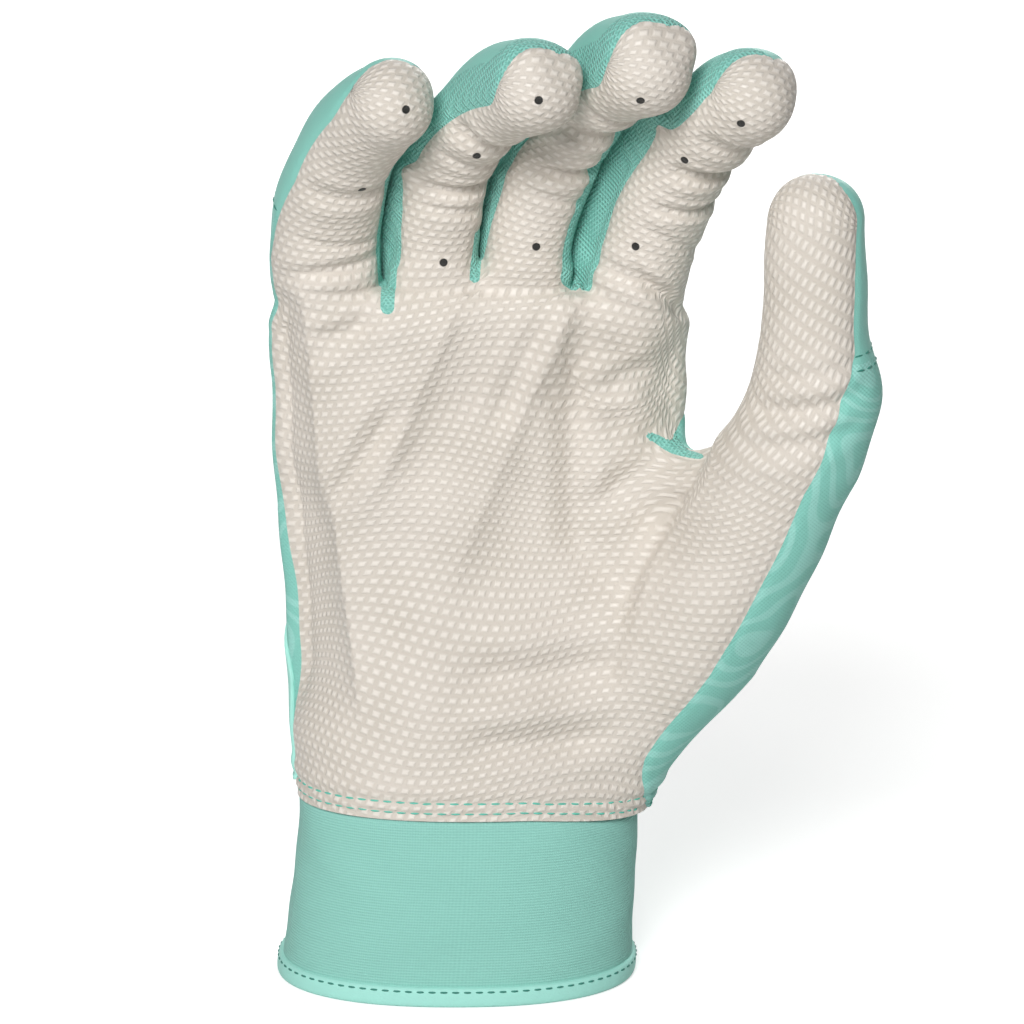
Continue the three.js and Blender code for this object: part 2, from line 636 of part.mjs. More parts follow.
function addCuff() {
  const bottom = HEM_HEIGHT + GAP;
  const top = CUFF_HEIGHT;
  const ventRight = (z) => backAngle(z, sectionAt(z).x + VENT_WIDTH / 2);
  const ventLeft = (z) => backAngle(z, sectionAt(z).x - VENT_WIDTH / 2) - 2 * Math.PI;
  const sideSeam = Math.PI / 2;
  const seamGap = (z) => GAP / 2 / sectionAt(z).halfDepth;
  addNode('wristband_palm', wrap(
    (z) => -sideSeam + seamGap(z), (z) => sideSeam - seamGap(z), bottom, top, 0, WALL, 12,
  ), MINT_KNIT);
  addNode('wristband_back_inner', wrap(
    (z) => sideSeam + seamGap(z), ventRight, bottom, top, 0, WALL, 7,
  ), MINT_KNIT);
  addNode('wristband_back_outer', wrap(
    ventLeft, (z) => -sideSeam - seamGap(z), bottom, top, 0, WALL, 7,
  ), MINT_KNIT);
  addNode('hem_binding', wrap(
    ventLeft, ventRight, 0, HEM_HEIGHT, -HEM_PROUD, WALL + HEM_PROUD, SECTION_COLUMNS,
  ), PALE_MINT);
  const lap = VENT_WIDTH / 2 + VENT_LAP;
  addNode('vent_insert', wrap(
    (z) => backAngle(z, sectionAt(z).x + lap), (z) => backAngle(z, sectionAt(z).x - lap),
    HEM_HEIGHT + VENT_INSERT_MARGIN, top - VENT_INSERT_MARGIN,
    WALL + GAP, WALL + GAP + VENT_INSERT_THICKNESS, 4,
  ), MINT_KNIT);
}

// The strap lies over two layers of fastening tape, so it stands off the cuff by both and their gaps.
const STRAP_INNER = 3 * GAP + 2 * TAPE_THICKNESS;
const STRAP_OUTER = STRAP_INNER + STRAP_THICKNESS;
function addStrap() {
  const bottom = STRAP_BOTTOM;
  const top = STRAP_BOTTOM + STRAP_HEIGHT;
  const back = (x) => (z) => backAngle(z, x);
  const tape = (from, to, stand) => wrap(
    back(from), back(to), bottom + TAPE_MARGIN, top - TAPE_MARGIN,
    -stand - TAPE_THICKNESS, -stand, TAPE_COLUMNS,
  );
  addNode('loop_tape', tape(TAPE_START_X, STRAP_TIP_X, GAP), GREY_TAPE);
  addNode('hook_tape', tape(TAPE_START_X, STRAP_TIP_X + TAPE_MARGIN, 2 * GAP + TAPE_THICKNESS), GREY_TAPE);
  addNode('strap_anchor', wrap(
    back(STRAP_ROOT_X + GAP + ANCHOR_LENGTH), back(STRAP_ROOT_X + GAP), bottom, top, -STRAP_OUTER, -GAP, 4,
  ), MINT);
  addNode('strap', wrap(
    back(STRAP_ROOT_X), back(STRAP_TIP_X), bottom, top, -STRAP_OUTER, -STRAP_INNER, 9,
  ), MINT);
  addNode('strap_pull_tab', wrap(
    back(STRAP_TIP_X - GAP), back(STRAP_TIP_X - GAP - PULL_TAB_LENGTH),
    bottom + PULL_TAB_INSET, top - PULL_TAB_INSET, -STRAP_OUTER, -STRAP_INNER, 4,
  ), PALE_MINT);
}

addHand();
addThumbBase();
[...FINGERS, THUMB].forEach(addDigit);
addCuff();
addStrap();

// The glove stands with the middle of its footprint on the origin.
const bounds = new THREE.Box3().setFromObject(group);
const middle = bounds.getCenter(new THREE.Vector3());
group.position.set(-middle.x, -middle.y, -bounds.min.z);

// Hinge places and axes, for anyone who puts the glove together.
const hingeAt = (digit, which) => {
  const { frame } = joint(digit, which);
  return { point: frame.centre.clone().add(group.position), axis: frame.side.clone() };
};
group.userData.hinges = {};
for (const digit of [...FINGERS, THUMB]) {
  group.userData.hinges[`${digit.name}_base`] = hingeAt(digit, 'base');
  group.userData.hinges[`${digit.name}_upper`] = hingeAt(digit, 'upper');
}
const strapRoot = (z) => onHand(z, backAngle(z, STRAP_ROOT_X), -STRAP_OUTER).add(group.position);
const [strapLow, strapHigh] = [strapRoot(STRAP_BOTTOM), strapRoot(STRAP_BOTTOM + STRAP_HEIGHT)];
group.userData.hinges.strap = {
  point: strapLow.clone().add(strapHigh).divideScalar(2),
  axis: strapHigh.clone().sub(strapLow).normalize(),
};

export default group;
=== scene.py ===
# %% [markdown]
# # A batting glove, from a field of distance to sewn pieces
#
# A glove is cut flat and sewn round a hand. This scene goes the other way: it first works out where the
# skin of the stuffed glove lies, and then cuts that skin along the seams into its pattern pieces.
# Every length is in millimetres in the glove's own frame, with the palm towards -Y, the thumb towards +X
# and Z up. The last step of each piece moves it into the row frame, in metres.

# %% Frame
import math
from types import SimpleNamespace

import bpy
import numpy as np
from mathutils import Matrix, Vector


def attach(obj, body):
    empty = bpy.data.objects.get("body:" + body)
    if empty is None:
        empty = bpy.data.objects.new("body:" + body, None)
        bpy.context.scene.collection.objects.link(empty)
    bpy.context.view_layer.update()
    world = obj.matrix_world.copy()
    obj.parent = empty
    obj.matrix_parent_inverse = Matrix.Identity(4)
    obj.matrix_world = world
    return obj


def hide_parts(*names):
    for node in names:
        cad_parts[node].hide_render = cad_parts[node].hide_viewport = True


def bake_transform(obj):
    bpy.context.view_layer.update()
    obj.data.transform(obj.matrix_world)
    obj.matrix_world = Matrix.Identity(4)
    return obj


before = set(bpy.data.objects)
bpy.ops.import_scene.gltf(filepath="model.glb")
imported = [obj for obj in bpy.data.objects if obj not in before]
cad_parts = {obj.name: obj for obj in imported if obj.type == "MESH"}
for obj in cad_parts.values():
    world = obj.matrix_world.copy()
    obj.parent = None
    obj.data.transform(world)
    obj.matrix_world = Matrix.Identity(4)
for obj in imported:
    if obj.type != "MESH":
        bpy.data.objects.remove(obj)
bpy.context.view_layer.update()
ROW = np.array([-23.563, 9.581, 0.0])
MM = 0.001

# %% [markdown]
# ## Sizes
# A digit is a chain of `bones`, each with a length, a tilt towards the palm and a lean towards the thumb.
# `joints` and `widths` are measured along it: where it bends, and its half width. `pad` is the way its pad
# faces. `left` and `right` give the leather's edge on the little-finger side and the thumb side as pairs of a
# distance along the digit and an angle from the pad. `over` says where, from the tip's start, that edge turns
# over the end and where its two sides meet on the back. `knit` lists the sides that carry a fourchette, the
# strip between two fingers. `creases` lists folds across the pad: distance along the digit, depth, width and
# slant. `softness` is the size of the fillet between the digit and the hand. `DEPTH` is a digit's depth over
# its width, and `STRETCH` is half the length of skin that bends at a joint.

# %% Sizes of the digits
def digit(name, root, joints, pad, **rest):
    root, pad = np.array(root, float), np.array(pad)
    return SimpleNamespace(name=name, root=root, base=joints[0], joint=joints[1], pad=pad, **rest)


LITTLE = digit(
    "little", root=(-27.5, -2, 144), joints=(20, 42), pad=(0.33, -0.92, -0.12),
    bones=((12.7, 9, 1), (16.2, 11, 1), (17.1, 28, 13), (16.3, 42, 32), (8.1, 47, 46)),
    widths=((0, 11), (20, 11.1), (42, 10.9), (71, 9.4)),
    left=((20, 102), (42, 72)), right=((0, 58), (46, 56), (66, 66)), over=(-6, 9), knit=(1,), softness=5,
    creases=(
        (7, 0.5, 1.4, 0.1), (15, 0.6, 1.3, -0.1), (21, 0.9, 1.5, 0.15), (28, 0.5, 1.2, -0.1),
        (44, 1.0, 2.6, 0.1),
    ),
)
RING = digit(
    "ring", root=(-4.6, -4, 146.6), joints=(20, 46), pad=(0.35, -0.9, -0.3),
    bones=((12.4, 5, 1), (14.7, 8, 4), (15.6, 19, 11), (18.1, 42, 33), (19.6, 55, 61)),
    widths=((0, 8.7), (20, 8.8), (46, 9.7), (81, 9.3)),
    left=((31, 84), (44, 70), (66, 60)), right=((10, 84), (24, 76), (34, 64), (60, 60), (80, 70)),
    over=(-4, 9), knit=(-1, 1), softness=9,
    creases=((32, 0.7, 1.3, -0.1), (38, 1.6, 2.0, 0.1), (50, 0.7, 1.5, -0.1), (62, 2.2, 2.8, 0)),
)
MIDDLE = digit(
    "middle", root=(13.9, -4, 148.8), joints=(20, 48), pad=(0.35, -0.9, -0.3),
    bones=((12.4, 5, 5), (15, 8, 11), (17.6, 17, 19), (19.3, 38, 34), (15.7, 56, 59)),
    widths=((0, 8.9), (20, 9.0), (48, 10.1), (80, 9.9)),
    left=((12, 112), (24, 100), (33, 90), (46, 72), (70, 60)), right=((0, 32), (50, 34), (62, 56), (80, 70)),
    over=(-4, 9), knit=(-1, 1), softness=9,
    creases=((33, 0.6, 1.2, -0.1), (41, 2.0, 2.0, 0.3), (57, 2.2, 2.6, 0.1), (68, 0.9, 1.8, 0)),
)
INDEX = digit(
    "index", root=(37.1, -5, 146.8), joints=(20, 45), pad=(0.33, -0.9, -0.25),
    bones=((13.7, 4, 10), (16.1, 11, 17), (16.8, 25, 23), (15.9, 39, 36), (7, 46, 52)),
    widths=((0, 11), (20, 10.8), (45, 10.4), (70, 9.9)),
    left=((10, 88), (17, 90), (29, 95), (36, 91), (48, 80), (58, 66)),
    right=((0, 110), (44, 122), (58, 132), (66, 115)), over=(-4, 11), knit=(-1,), softness=5,
    creases=(
        (14, 1.3, 1.8, -0.6), (27, 0.6, 1.4, -0.3), (36, 1.3, 1.5, 0.1), (48, 2.2, 2.3, 0.1),
        (61, 1.4, 2.4, 0),
    ),
)
THUMB = digit(
    "thumb", root=(31, -3, 43.5), joints=(92.5, 119.5), pad=(-0.3, -0.95, 0),
    bones=((41.2, 7, 30), (26.7, 13, 27), (24.5, 14, 21), (17.7, 10, 14), (17.4, 7, 1), (17.2, 7, -1)),
    widths=((0, 8), (42, 16.3), (92.5, 14.8), (119.5, 11.4), (145, 10.2)),
    left=((100, 97), (130, 100)), right=((90, 33), (104, 41), (113, 48), (118, 60), (134, 63), (147, 74)),
    over=(8, 18), knit=(), softness=12,
    creases=((98, 1.0, 2.6, 0.5), (106, 1.4, 2.2, 0.35), (114, 0.6, 1.8, 0.2)),
)
DIGITS = [LITTLE, RING, MIDDLE, INDEX, THUMB]
FINGERS = DIGITS[:4]
DEPTH = 0.95
STRETCH = 8.0
print("digits:", ", ".join(d.name for d in DIGITS))

# %% Sizes of the hand
CUFF_TOP = 42.0
HEM = 4.5
KNUCKLES = 148.0
WEB_TOP = 158.0
POWER = 2.3
# Height, left edge, right edge, depth and middle y of the hand's section, from the cuff's mouth to the web.
STATIONS = np.array([
    (0, -40.5, 39.5, 54, 0), (42, -36, 41, 48, 0), (64, -37.4, 42, 43, 0), (92, -38.8, 47, 37, 1),
    (120, -40.5, 50.6, 32, 0), (148, -40.2, 49.6, 25, -3.5), (158, -39.9, 50.1, 22, -5.5),
])


def smoothstep(low, high, value):
    t = np.clip((value - low) / (high - low), 0, 1)
    return t * t * (3 - 2 * t)


def bent(value, power):
    """The value's size raised to a power, with its sign kept."""
    return np.sign(value) * np.abs(value) ** power


def unit(vectors):
    return vectors / np.maximum(np.linalg.norm(vectors, axis=-1, keepdims=True), 1e-9)


def section(z):
    """Middle x, middle y, half width and half depth of the hand at height z: a cubic between each two
    stations whose slope at a station is that of the line through its neighbours."""
    knots = STATIONS[:, 0]
    left, right, depth, middle = STATIONS[:, 1:].T
    table = np.column_stack([(left + right) / 2, middle, (right - left) / 2, depth / 2])
    slope = np.gradient(table, knots, axis=0)
    z = np.clip(z, 0, WEB_TOP)
    i = np.clip(np.searchsorted(knots, z) - 1, 0, len(knots) - 2)
    gap = (knots[i + 1] - knots[i])[..., None]
    t = (z - knots[i])[..., None] / gap
    ends = table[i] * (1 + 2 * t) * (1 - t) ** 2 + table[i + 1] * t * t * (3 - 2 * t)
    turns = slope[i] * t * (1 - t) ** 2 + slope[i + 1] * t * t * (t - 1)
    return np.moveaxis(ends + gap * turns, -1, 0)


def on_hand(z, angle, depth):
    """A point on the hand's section at height z: a superellipse, angle 0 at the palm and 90 degrees at the
    thumb side, drawn in by depth."""
    x, y, wide, deep = section(z)
    across, through = bent(np.sin(angle), 2 / POWER), bent(np.cos(angle), 2 / POWER)
    return np.stack([x + (wide - depth) * across, y - (deep - depth) * through, z + 0 * angle], -1)


def back_angle(z, x):
    """The angle, on the back of the hand, at which the section at height z reaches x."""
    middle, _, wide, _ = section(z)
    share = np.clip((x - middle) / wide, -1, 1)
    return np.pi - np.sign(share) * np.arcsin(np.abs(share) ** (POWER / 2))


# %% [markdown]
# ## The skin as a field
# Each digit is a tube round a smooth path through its bones. For any point in space the nearest place on the
# path gives three numbers: how far along the digit it is, the angle round it from the pad, and how far
# outside the skin. The hand gives a fourth. A smooth minimum of the hand's and a digit's distance joins them
# with a fillet, as stretched leather does, while a plain minimum keeps neighbouring fingers apart.

# %% Digits as paths
def smooth_path(corners, count):
    """Uniform Catmull-Rom curve: between two corners, the cubic that leaves and arrives parallel to the
    chords across each corner, then taken again at even steps of length."""
    ends = np.vstack([2 * corners[0] - corners[1], corners, 2 * corners[-1] - corners[-2]])
    t = np.linspace(0, 1, 60, endpoint=False)[:, None]
    a, b, c, d = (ends[i:i + len(corners) - 1, None] for i in range(4))
    squared, cubed = 2 * a - 5 * b + 4 * c - d, 3 * b - a - 3 * c + d
    curve = 0.5 * (2 * b + (c - a) * t + squared * t ** 2 + cubed * t ** 3)
    curve = np.vstack([curve.reshape(-1, 3), corners[-1:]])
    length = np.concatenate([[0], np.cumsum(np.linalg.norm(np.diff(curve, axis=0), axis=1))])
    s = np.linspace(0, length[-1], count)
    return s, np.column_stack([np.interp(s, length, curve[:, k]) for k in range(3)])


def prepare(d):
    length, tilt, lean = np.array(d.bones).T
    tilt, lean = np.radians(tilt), np.radians(lean)
    ways = np.column_stack([np.cos(tilt) * np.sin(lean), -np.sin(tilt), np.cos(tilt) * np.cos(lean)])
    corners = np.vstack([d.root, d.root + np.cumsum(length[:, None] * ways, axis=0)])
    d.s, d.centre = smooth_path(corners, 120)
    d.length = d.s[-1]
    d.along = unit(np.gradient(d.centre, axis=0))
    d.pads = unit(d.pad - d.along * (d.along @ d.pad)[:, None])
    d.side = np.cross(d.along, d.pads)
    place, half = np.array(d.widths, float).T
    place[-1] = d.length
    d.half = np.interp(d.s, place, half)
    d.tip = half[-1]


def at(d, table, s):
    """A row of one of the digit's tables, mixed between the two steps round s."""
    step = np.clip(s, 0, d.length) / d.s[1]
    i = np.minimum(step.astype(int), len(d.s) - 2)
    t = step - i
    return table[i] + (table[i + 1] - table[i]) * (t[:, None] if table.ndim > 1 else t)


def on_digit(d, s, angle):
    """A point of the digit's plain tube: half a width off its path, at an angle from the pad."""
    wide = at(d, d.half, s)[:, None]
    across = np.sin(angle)[:, None] * at(d, d.side, s)
    through = DEPTH * np.cos(angle)[:, None] * at(d, d.pads, s)
    return at(d, d.centre, s) + wide * (across + through)


def place_on(d, points):
    """Distance along the digit, angle from its pad and distance outside its skin. Past the path's end the
    section shrinks to a dome, and the distance along runs on round it."""
    nearest = np.concatenate([
        np.argmin((d.centre ** 2).sum(1) - 2 * some @ d.centre.T, axis=1)
        for some in np.array_split(points, len(points) // 40000 + 1)
    ])
    s = d.s[nearest] + ((points - d.centre[nearest]) * d.along[nearest]).sum(1)
    offset = points - at(d, d.centre, s)
    across, through = (offset * at(d, d.side, s)).sum(1), (offset * at(d, d.pads, s)).sum(1) / DEPTH
    half = at(d, d.half, s)
    beyond = np.maximum(s - d.length, 0) / d.tip + np.maximum(-s, 0) / d.half[0]
    radial = np.hypot(across, through) / half
    run = np.where(s > d.length, d.length + d.tip * np.arctan2(beyond, radial), s)
    return run, np.arctan2(across, through), (np.hypot(radial, beyond) - 1) * half * DEPTH


for d in DIGITS:
    prepare(d)
    print(d.name, "is", round(float(d.length + d.tip), 1), "mm long")


# %% The whole field
def smooth_min(a, b, k):
    """The lesser of a and b, with a fillet of size k where they cross."""
    h = np.clip(0.5 + 0.5 * (b - a) / k, 0, 1)
    return b + (a - b) * h - k * h * (1 - h)


WEB_START, WEB_END = np.array([42.0, -5.0, 117.5]), np.array([64.0, -13.0, 116.0])
WEB_RADIUS, WEB_FILLET = 6.5, 5.0
WEB_LINE = 0.35
FAR, NEAR_BOX = 60.0, 26.0
SOFTNESS = np.array([d.softness for d in DIGITS], float)[:, None]


def hand_distance(points):
    """Distance outside the hand: how far the superellipse has to grow to reach the point, over how fast it
    grows there. Above the knuckles the section shrinks to the web line. A rounded bar makes the fold of
    leather between the hand and the thumb."""
    x, y, z = points.T
    mid_x, mid_y, wide, deep = section(z)
    rise = np.clip((z - KNUCKLES) / (WEB_TOP - KNUCKLES), 0, 1)
    shrink = WEB_LINE + (1 - WEB_LINE) * np.sqrt(1 - rise ** 2)
    wide, deep = wide * shrink, deep * shrink
    u, v = np.abs(x - mid_x) / wide, np.abs(y - mid_y) / deep
    gauge = np.maximum((u ** POWER + v ** POWER) ** (1 / POWER), 0.05)
    growth = np.hypot((u / gauge) ** (POWER - 1) / wide, (v / gauge) ** (POWER - 1) / deep)
    run = WEB_END - WEB_START
    share = np.clip((points - WEB_START) @ run / (run @ run), 0, 1)
    web = np.linalg.norm(points - WEB_START - share[:, None] * run, axis=1) - WEB_RADIUS
    return smooth_min(np.maximum((gauge - 1) / growth, z - WEB_TOP), web, WEB_FILLET)


def places(points):
    """Distance along, angle and distance outside for every digit, one row each; far points are left out."""
    along, around = np.zeros((2, len(DIGITS), len(points)))
    outside = np.full((len(DIGITS), len(points)), FAR)
    for k, d in enumerate(DIGITS):
        near = np.all((points > d.centre.min(0) - NEAR_BOX) & (points < d.centre.max(0) + NEAR_BOX), axis=1)
        along[k, near], around[k, near], outside[k, near] = place_on(d, points[near])
    return along, around, outside


def field(points):
    """The least of the digits' distances, each joined to the hand with its own fillet. Low down the fingers
    are also joined to each other, and that fillet fades out where they part."""
    along, _, outside = places(points)
    joined = smooth_min(hand_distance(points), outside, SOFTNESS)
    skin = joined[0]
    for k in (1, 2, 3):
        fillet = 0.01 + WEB_FILLET * smoothstep(17, 6, along[k]) * smoothstep(12, 6, outside[k])
        skin = smooth_min(skin, joined[k], fillet)
    return np.minimum(skin, joined[4])


# %% [markdown]
# ## From field to mesh
# A surface net puts one point in every cell of a grid that the skin passes through and a face across every
# grid edge that it cuts. Only cells close to the skin are looked at closely: a coarse grid finds them first.
# Two Newton steps then carry each point onto the skin.

# %% Surface net
CELL, COARSE = 0.8, 5
PROBE = 0.05
LOW = np.array([-46.0, -56.0, 36.0])
SIZE = np.array([34, 24, 47])


def grid_points(index, step):
    return LOW + index * step


def sample_grid():
    """The field on a grid of cells, worked out in full only where the coarse grid is near the skin."""
    coarse_index = np.stack(np.meshgrid(*[np.arange(n + 1) for n in SIZE], indexing="ij"), -1)
    coarse = field(grid_points(coarse_index.reshape(-1, 3), CELL * COARSE)).reshape(SIZE + 1)
    fine = coarse
    for axis in range(3):
        fine = np.repeat(fine, COARSE, axis=axis)
    near = np.argwhere(np.abs(fine) < CELL * COARSE * 2)
    fine[tuple(near.T)] = field(grid_points(near, CELL))
    return fine


def surface_net(values):
    inside = values < 0
    corners = np.array([(i, j, k) for i in (0, 1) for j in (0, 1) for k in (0, 1)])
    low = tuple(slice(0, -1) for _ in range(3))
    high = tuple(slice(1, None) for _ in range(3))
    filled = sum(inside[tuple((low, high)[c[a]][a] for a in range(3))].astype(np.int8) for c in corners)
    crossed = (filled > 0) & (filled < 8)
    cells = np.argwhere(crossed)
    number = np.full(crossed.shape, -1)
    number[crossed] = np.arange(len(cells))
    total, count = np.zeros((len(cells), 3)), np.zeros((len(cells), 1))
    for a in corners:
        for axis in np.flatnonzero(a == 0):
            b = a + np.eye(3, dtype=int)[axis]
            first, last = values[tuple((cells + a).T)], values[tuple((cells + b).T)]
            cut = (first < 0) != (last < 0)
            share = np.where(cut, first / np.where(cut, first - last, 1), 0)
            total += np.where(cut[:, None], a + share[:, None] * (b - a), 0)
            count += cut[:, None]
    points = grid_points(cells + total / count, CELL)
    quads = []
    for axis in range(3):
        first = np.take(inside, range(inside.shape[axis] - 1), axis)
        last = np.take(inside, range(1, inside.shape[axis]), axis)
        edge = np.argwhere(first != last)
        u, v = np.eye(3, dtype=int)[(axis + 1) % 3], np.eye(3, dtype=int)[(axis + 2) % 3]
        free = np.all((edge - u - v >= 0) & (edge < np.array(number.shape)), axis=1)
        edge = edge[free]
        quad = np.stack([number[tuple((edge - step).T)] for step in (u + v, v, 0 * u, u)], 1)
        outwards = first[tuple(edge.T)]
        quads.append(np.where(outwards[:, None], quad, quad[:, ::-1]))
    quads = np.vstack(quads)
    return points, np.vstack([quads[:, [0, 1, 2]], quads[:, [0, 2, 3]]])


def slope_of(points):
    """The field and its slope, by stepping a little along each axis."""
    here = field(points)
    return here, np.column_stack([(field(points + PROBE * way) - here) / PROBE for way in np.eye(3)])


points, faces = surface_net(sample_grid())
for _ in range(2):
    here, slope = slope_of(points)
    points = points - (here / np.maximum((slope ** 2).sum(1), 0.2))[:, None] * slope
print("skin:", len(points), "points,", len(faces), "triangles")

# %% [markdown]
# ## Folds
# Worn leather creases where the hand bends and bags between. A fold is a valley whose section is a Gaussian,
# with low shoulders beside it. Folds on a digit lie across its pad. Folds on the palm are straight lines in
# the front view, from one (x, z) to another, and fade out towards their ends. A pleat is a one-sided fold:
# the skin stays flat up to its line and falls away on the right of it, then comes slowly back. Both are given
# by their two ends, depth and width. A lump is a bell about a point, by its radius and rise.
# Fingers that have to bend past each other stand a little apart, so the back half of each knit wall also
# bulges sideways, towards its neighbour, until the eye sees no gap.

# %% Folds
PALM_FOLDS = (
    (-13, 133, -27, 110, 1.9, 2.6), (20, 155, 8, 127, 0.9, 2.2), (28, 158, 25.5, 132, 0.8, 3.0),
    (25.5, 142, 27, 100, 1.5, 3.2), (27, 106, 40, 86, 1.0, 4.0), (28, 134, 45, 140, 0.9, 2.4),
    (30, 107.5, 47, 124, 1.6, 3.0), (47, 114, 50, 105, 0.8, 2.4), (29, 165, 49, 156, 1.2, 1.8),
    (1, 73.4, 39, 75, 2.2, 4.0), (2, 58.6, 33, 59, 2.0, 3.2), (-37, 140, -14, 154, 1.0, 2.0),
    (-34, 146, -18, 153, 0.6, 1.6), (-39, 161, -18, 163, 0.9, 1.8), (30, 148, 50, 130, 0.6, 2.6),
)
PLEATS = (
    (-1.2, 93.5, 28, 160.5, 3.8, 15), (-16.4, 115.8, 3, 160.5, 2.6, 9), (-33, 160, -29, 108, 4.6, 12),
    (-28, 116, -21, 64, 5.6, 12),
)
HOLLOW = (14, 104, 25, 36, 2.0)
LUMPS = (
    (53, -12, 137, 9, -3.0), (88, -24, 137, 10, 2.8), (84, -22, 124, 9, 1.2), (-24, -18, 122, 13, 1.2),
    (44, -24, 92, 16, 1.0), (23, -33, 210, 5, -0.9), (-39, -4, 160, 10, 1.6), (-39, -6, 176, 10, 1.6),
)
CROWN = {"little": 0.4, "ring": 2.5, "middle": 2.6, "index": 0.8}
CREASE_TURN = {"index": 0.3, "thumb": 0.2}
HEM_DROP = 2.2
HEM_ROWS = (1.6, 3.9)
# Height above the hem, width and rise of the puffed edge and of the dips along its stitches.
HEM_PUFFS = ((sum(HEM_ROWS) / 2, 0.9, 0.5), (6.5, 1.6, 0.5), *((row, 0.7, -0.4) for row in HEM_ROWS))
SHOULDER_PLACE, SHOULDER_WIDTH, SHOULDER_RISE = 2.0, 0.8, 0.28
WAVE = 0.35
# Where along the ring, middle and index finger the bulge ends, and how it stands to the finger beside it.
WALL_ENDS = (43, 36.8, 57)
ROOM, COVER = 0.8, 0.6


def hem_line(x):
    """Height of the leather's lower edge: level, and a little lower on the thumb side."""
    return CUFF_TOP - HEM_DROP * smoothstep(12, 41, x)


def valley(distance, width):
    """A Gaussian valley of depth 1, with low shoulders beside it."""
    shoulder = np.exp(-((np.abs(distance) / width - SHOULDER_PLACE) / SHOULDER_WIDTH) ** 2)
    return np.exp(-(distance / width) ** 2) - SHOULDER_RISE * shoulder


def pleat(distance, width):
    """A sharp edge at 0, from which the skin falls to depth 1 at one width and comes slowly back."""
    out = np.maximum(distance, 0) / width
    return out * np.exp(1 - out)


def crease_relief(d, along, around, outside):
    """Folds across a digit's pad, which fade out towards its sides, and the fuller cloth over its tip."""
    half = at(d, d.half, along)
    near = smoothstep(2.5, 0.5, outside)
    pad = smoothstep(0.4, 0.9, np.cos(around - CREASE_TURN.get(d.name, 0)))
    folds = sum(
        depth * valley(along - place - slant * half * around, width)
        for place, depth, width, slant in d.creases
    )
    past = along - d.length
    crown = smoothstep(0.0, 0.9, -np.cos(around)) * smoothstep(-26, -6, past) * smoothstep(13, 6, past)
    return near * (CROWN.get(d.name, 0) * crown - pad * folds)


def bulge(points, along, outside):
    """Low down, the back half of a finger's knit wall bulges towards its neighbour on the little-finger side,
    as a move of each point across the view. Beside the neighbour's round section it keeps a little room, and
    behind it reaches just past its edge, so either finger can still bend."""
    move = np.zeros_like(points)
    for k, end in enumerate(WALL_ENDS):
        other, own = DIGITS[k], DIGITS[k + 1]
        side, pads = at(other, other.side, along[k]), at(other, other.pads, along[k])
        to_back = unit(side[:, 1:2] * side + pads[:, 1:2] * pads)
        across = unit(side[:, 1:2] * pads - pads[:, 1:2] * side)
        offset = points - at(other, other.centre, along[k])
        half = at(other, other.half, along[k])
        behind = (offset * to_back).sum(1)
        edge = np.maximum(np.sqrt(np.clip(half ** 2 - behind ** 2, 0, None)) + ROOM, half - COVER)
        reach = np.clip((offset * across).sum(1) - edge, 0, 10)
        run = along[k + 1]
        own_side = ((points - at(own, own.centre, run)) * across).sum(1) / at(own, own.half, run)
        share = smoothstep(-0.3, -0.7, own_side) * smoothstep(3.5, 2.2, outside[k + 1])
        share *= smoothstep(-2, 3, behind) * smoothstep(8.5, 6, behind)
        share *= smoothstep(5, 9, run) * smoothstep(end, end - 6, run)
        move -= (share * reach)[:, None] * across
    return move


def relief(points, along, around, outside, front):
    """How far the skin stands off the plain field at each point."""
    height = sum(crease_relief(d, along[k], around[k], outside[k]) for k, d in enumerate(DIGITS))
    x, z = points[:, 0], points[:, 2]
    for profile, lines in ((valley, PALM_FOLDS), (pleat, PLEATS)):
        for x0, z0, x1, z1, depth, width in lines:
            run = np.array([x1 - x0, z1 - z0], float)
            length = np.hypot(*run)
            t = ((x - x0) * run[0] + (z - z0) * run[1]) / length ** 2
            across = ((x - x0) * run[1] - (z - z0) * run[0]) / length
            fade = smoothstep(-0.12, 0.25, t) * smoothstep(1.12, 0.75, t)
            height -= depth * front * fade * profile(across, width)
    above = z - hem_line(x)
    for middle, width, rise in HEM_PUFFS:
        height += rise * np.exp(-((above - middle) / width) ** 2)
    x0, z0, wide, tall, depth = HOLLOW
    height -= depth * front * np.exp(-((x - x0) / wide) ** 2 - ((z - z0) / tall) ** 2)
    for *centre, radius, rise in LUMPS:
        height += rise * np.exp(-((points - centre) ** 2).sum(1) / radius ** 2)
    wave = np.sin(0.21 * x + 0.13 * z + 0.6) * np.sin(0.17 * z - 0.11 * x + 1.9)
    return height + WAVE * wave * smoothstep(44, 60, z)


# %% [markdown]
# ## Seams
# Every seam is where a number on the skin passes zero. `leather` is positive on the palm piece: in front of
# the middle of the hand, and within the seam angles on a digit, rounding off to a tongue over the fingertip.
# `back` is positive on the back piece. What is neither is knit: the fourchettes, whose ends are round slots
# in the palm, and a small gusset beside the thumb. The two numbers of the hand change smoothly into those of
# a digit along its root.

# %% Seam numbers
KNIT_ANGLE, OVER_ANGLE = math.radians(56), math.radians(200)
# How far the leather's edge is moved at the little-finger side, the thumb's web and the index finger.
SIDE_SHIFT, SIDE_EASE, WEB_SHIFT, INDEX_SHIFT = 1.6, 1.9, 3.4, 6.0
# Each slot by the (x, z) of its foot, its half width and its lean; the back piece keeps a margin from it.
SLOT_LENGTH, SLOT_DROP, SLOT_MARGIN = 9.0, 2.0, 1.5
SLOTS = ((-14.6, 155.0, 1.5, 2), (4.2, 160.6, 1.0, 6), (25.4, 160.6, 2.7, 12))
# The gusset, a wedge from one (x, z) to another, and its half width at the wide end.
GUSSET = (42.0, 125.6, 51.0, 124.6, 1.1)


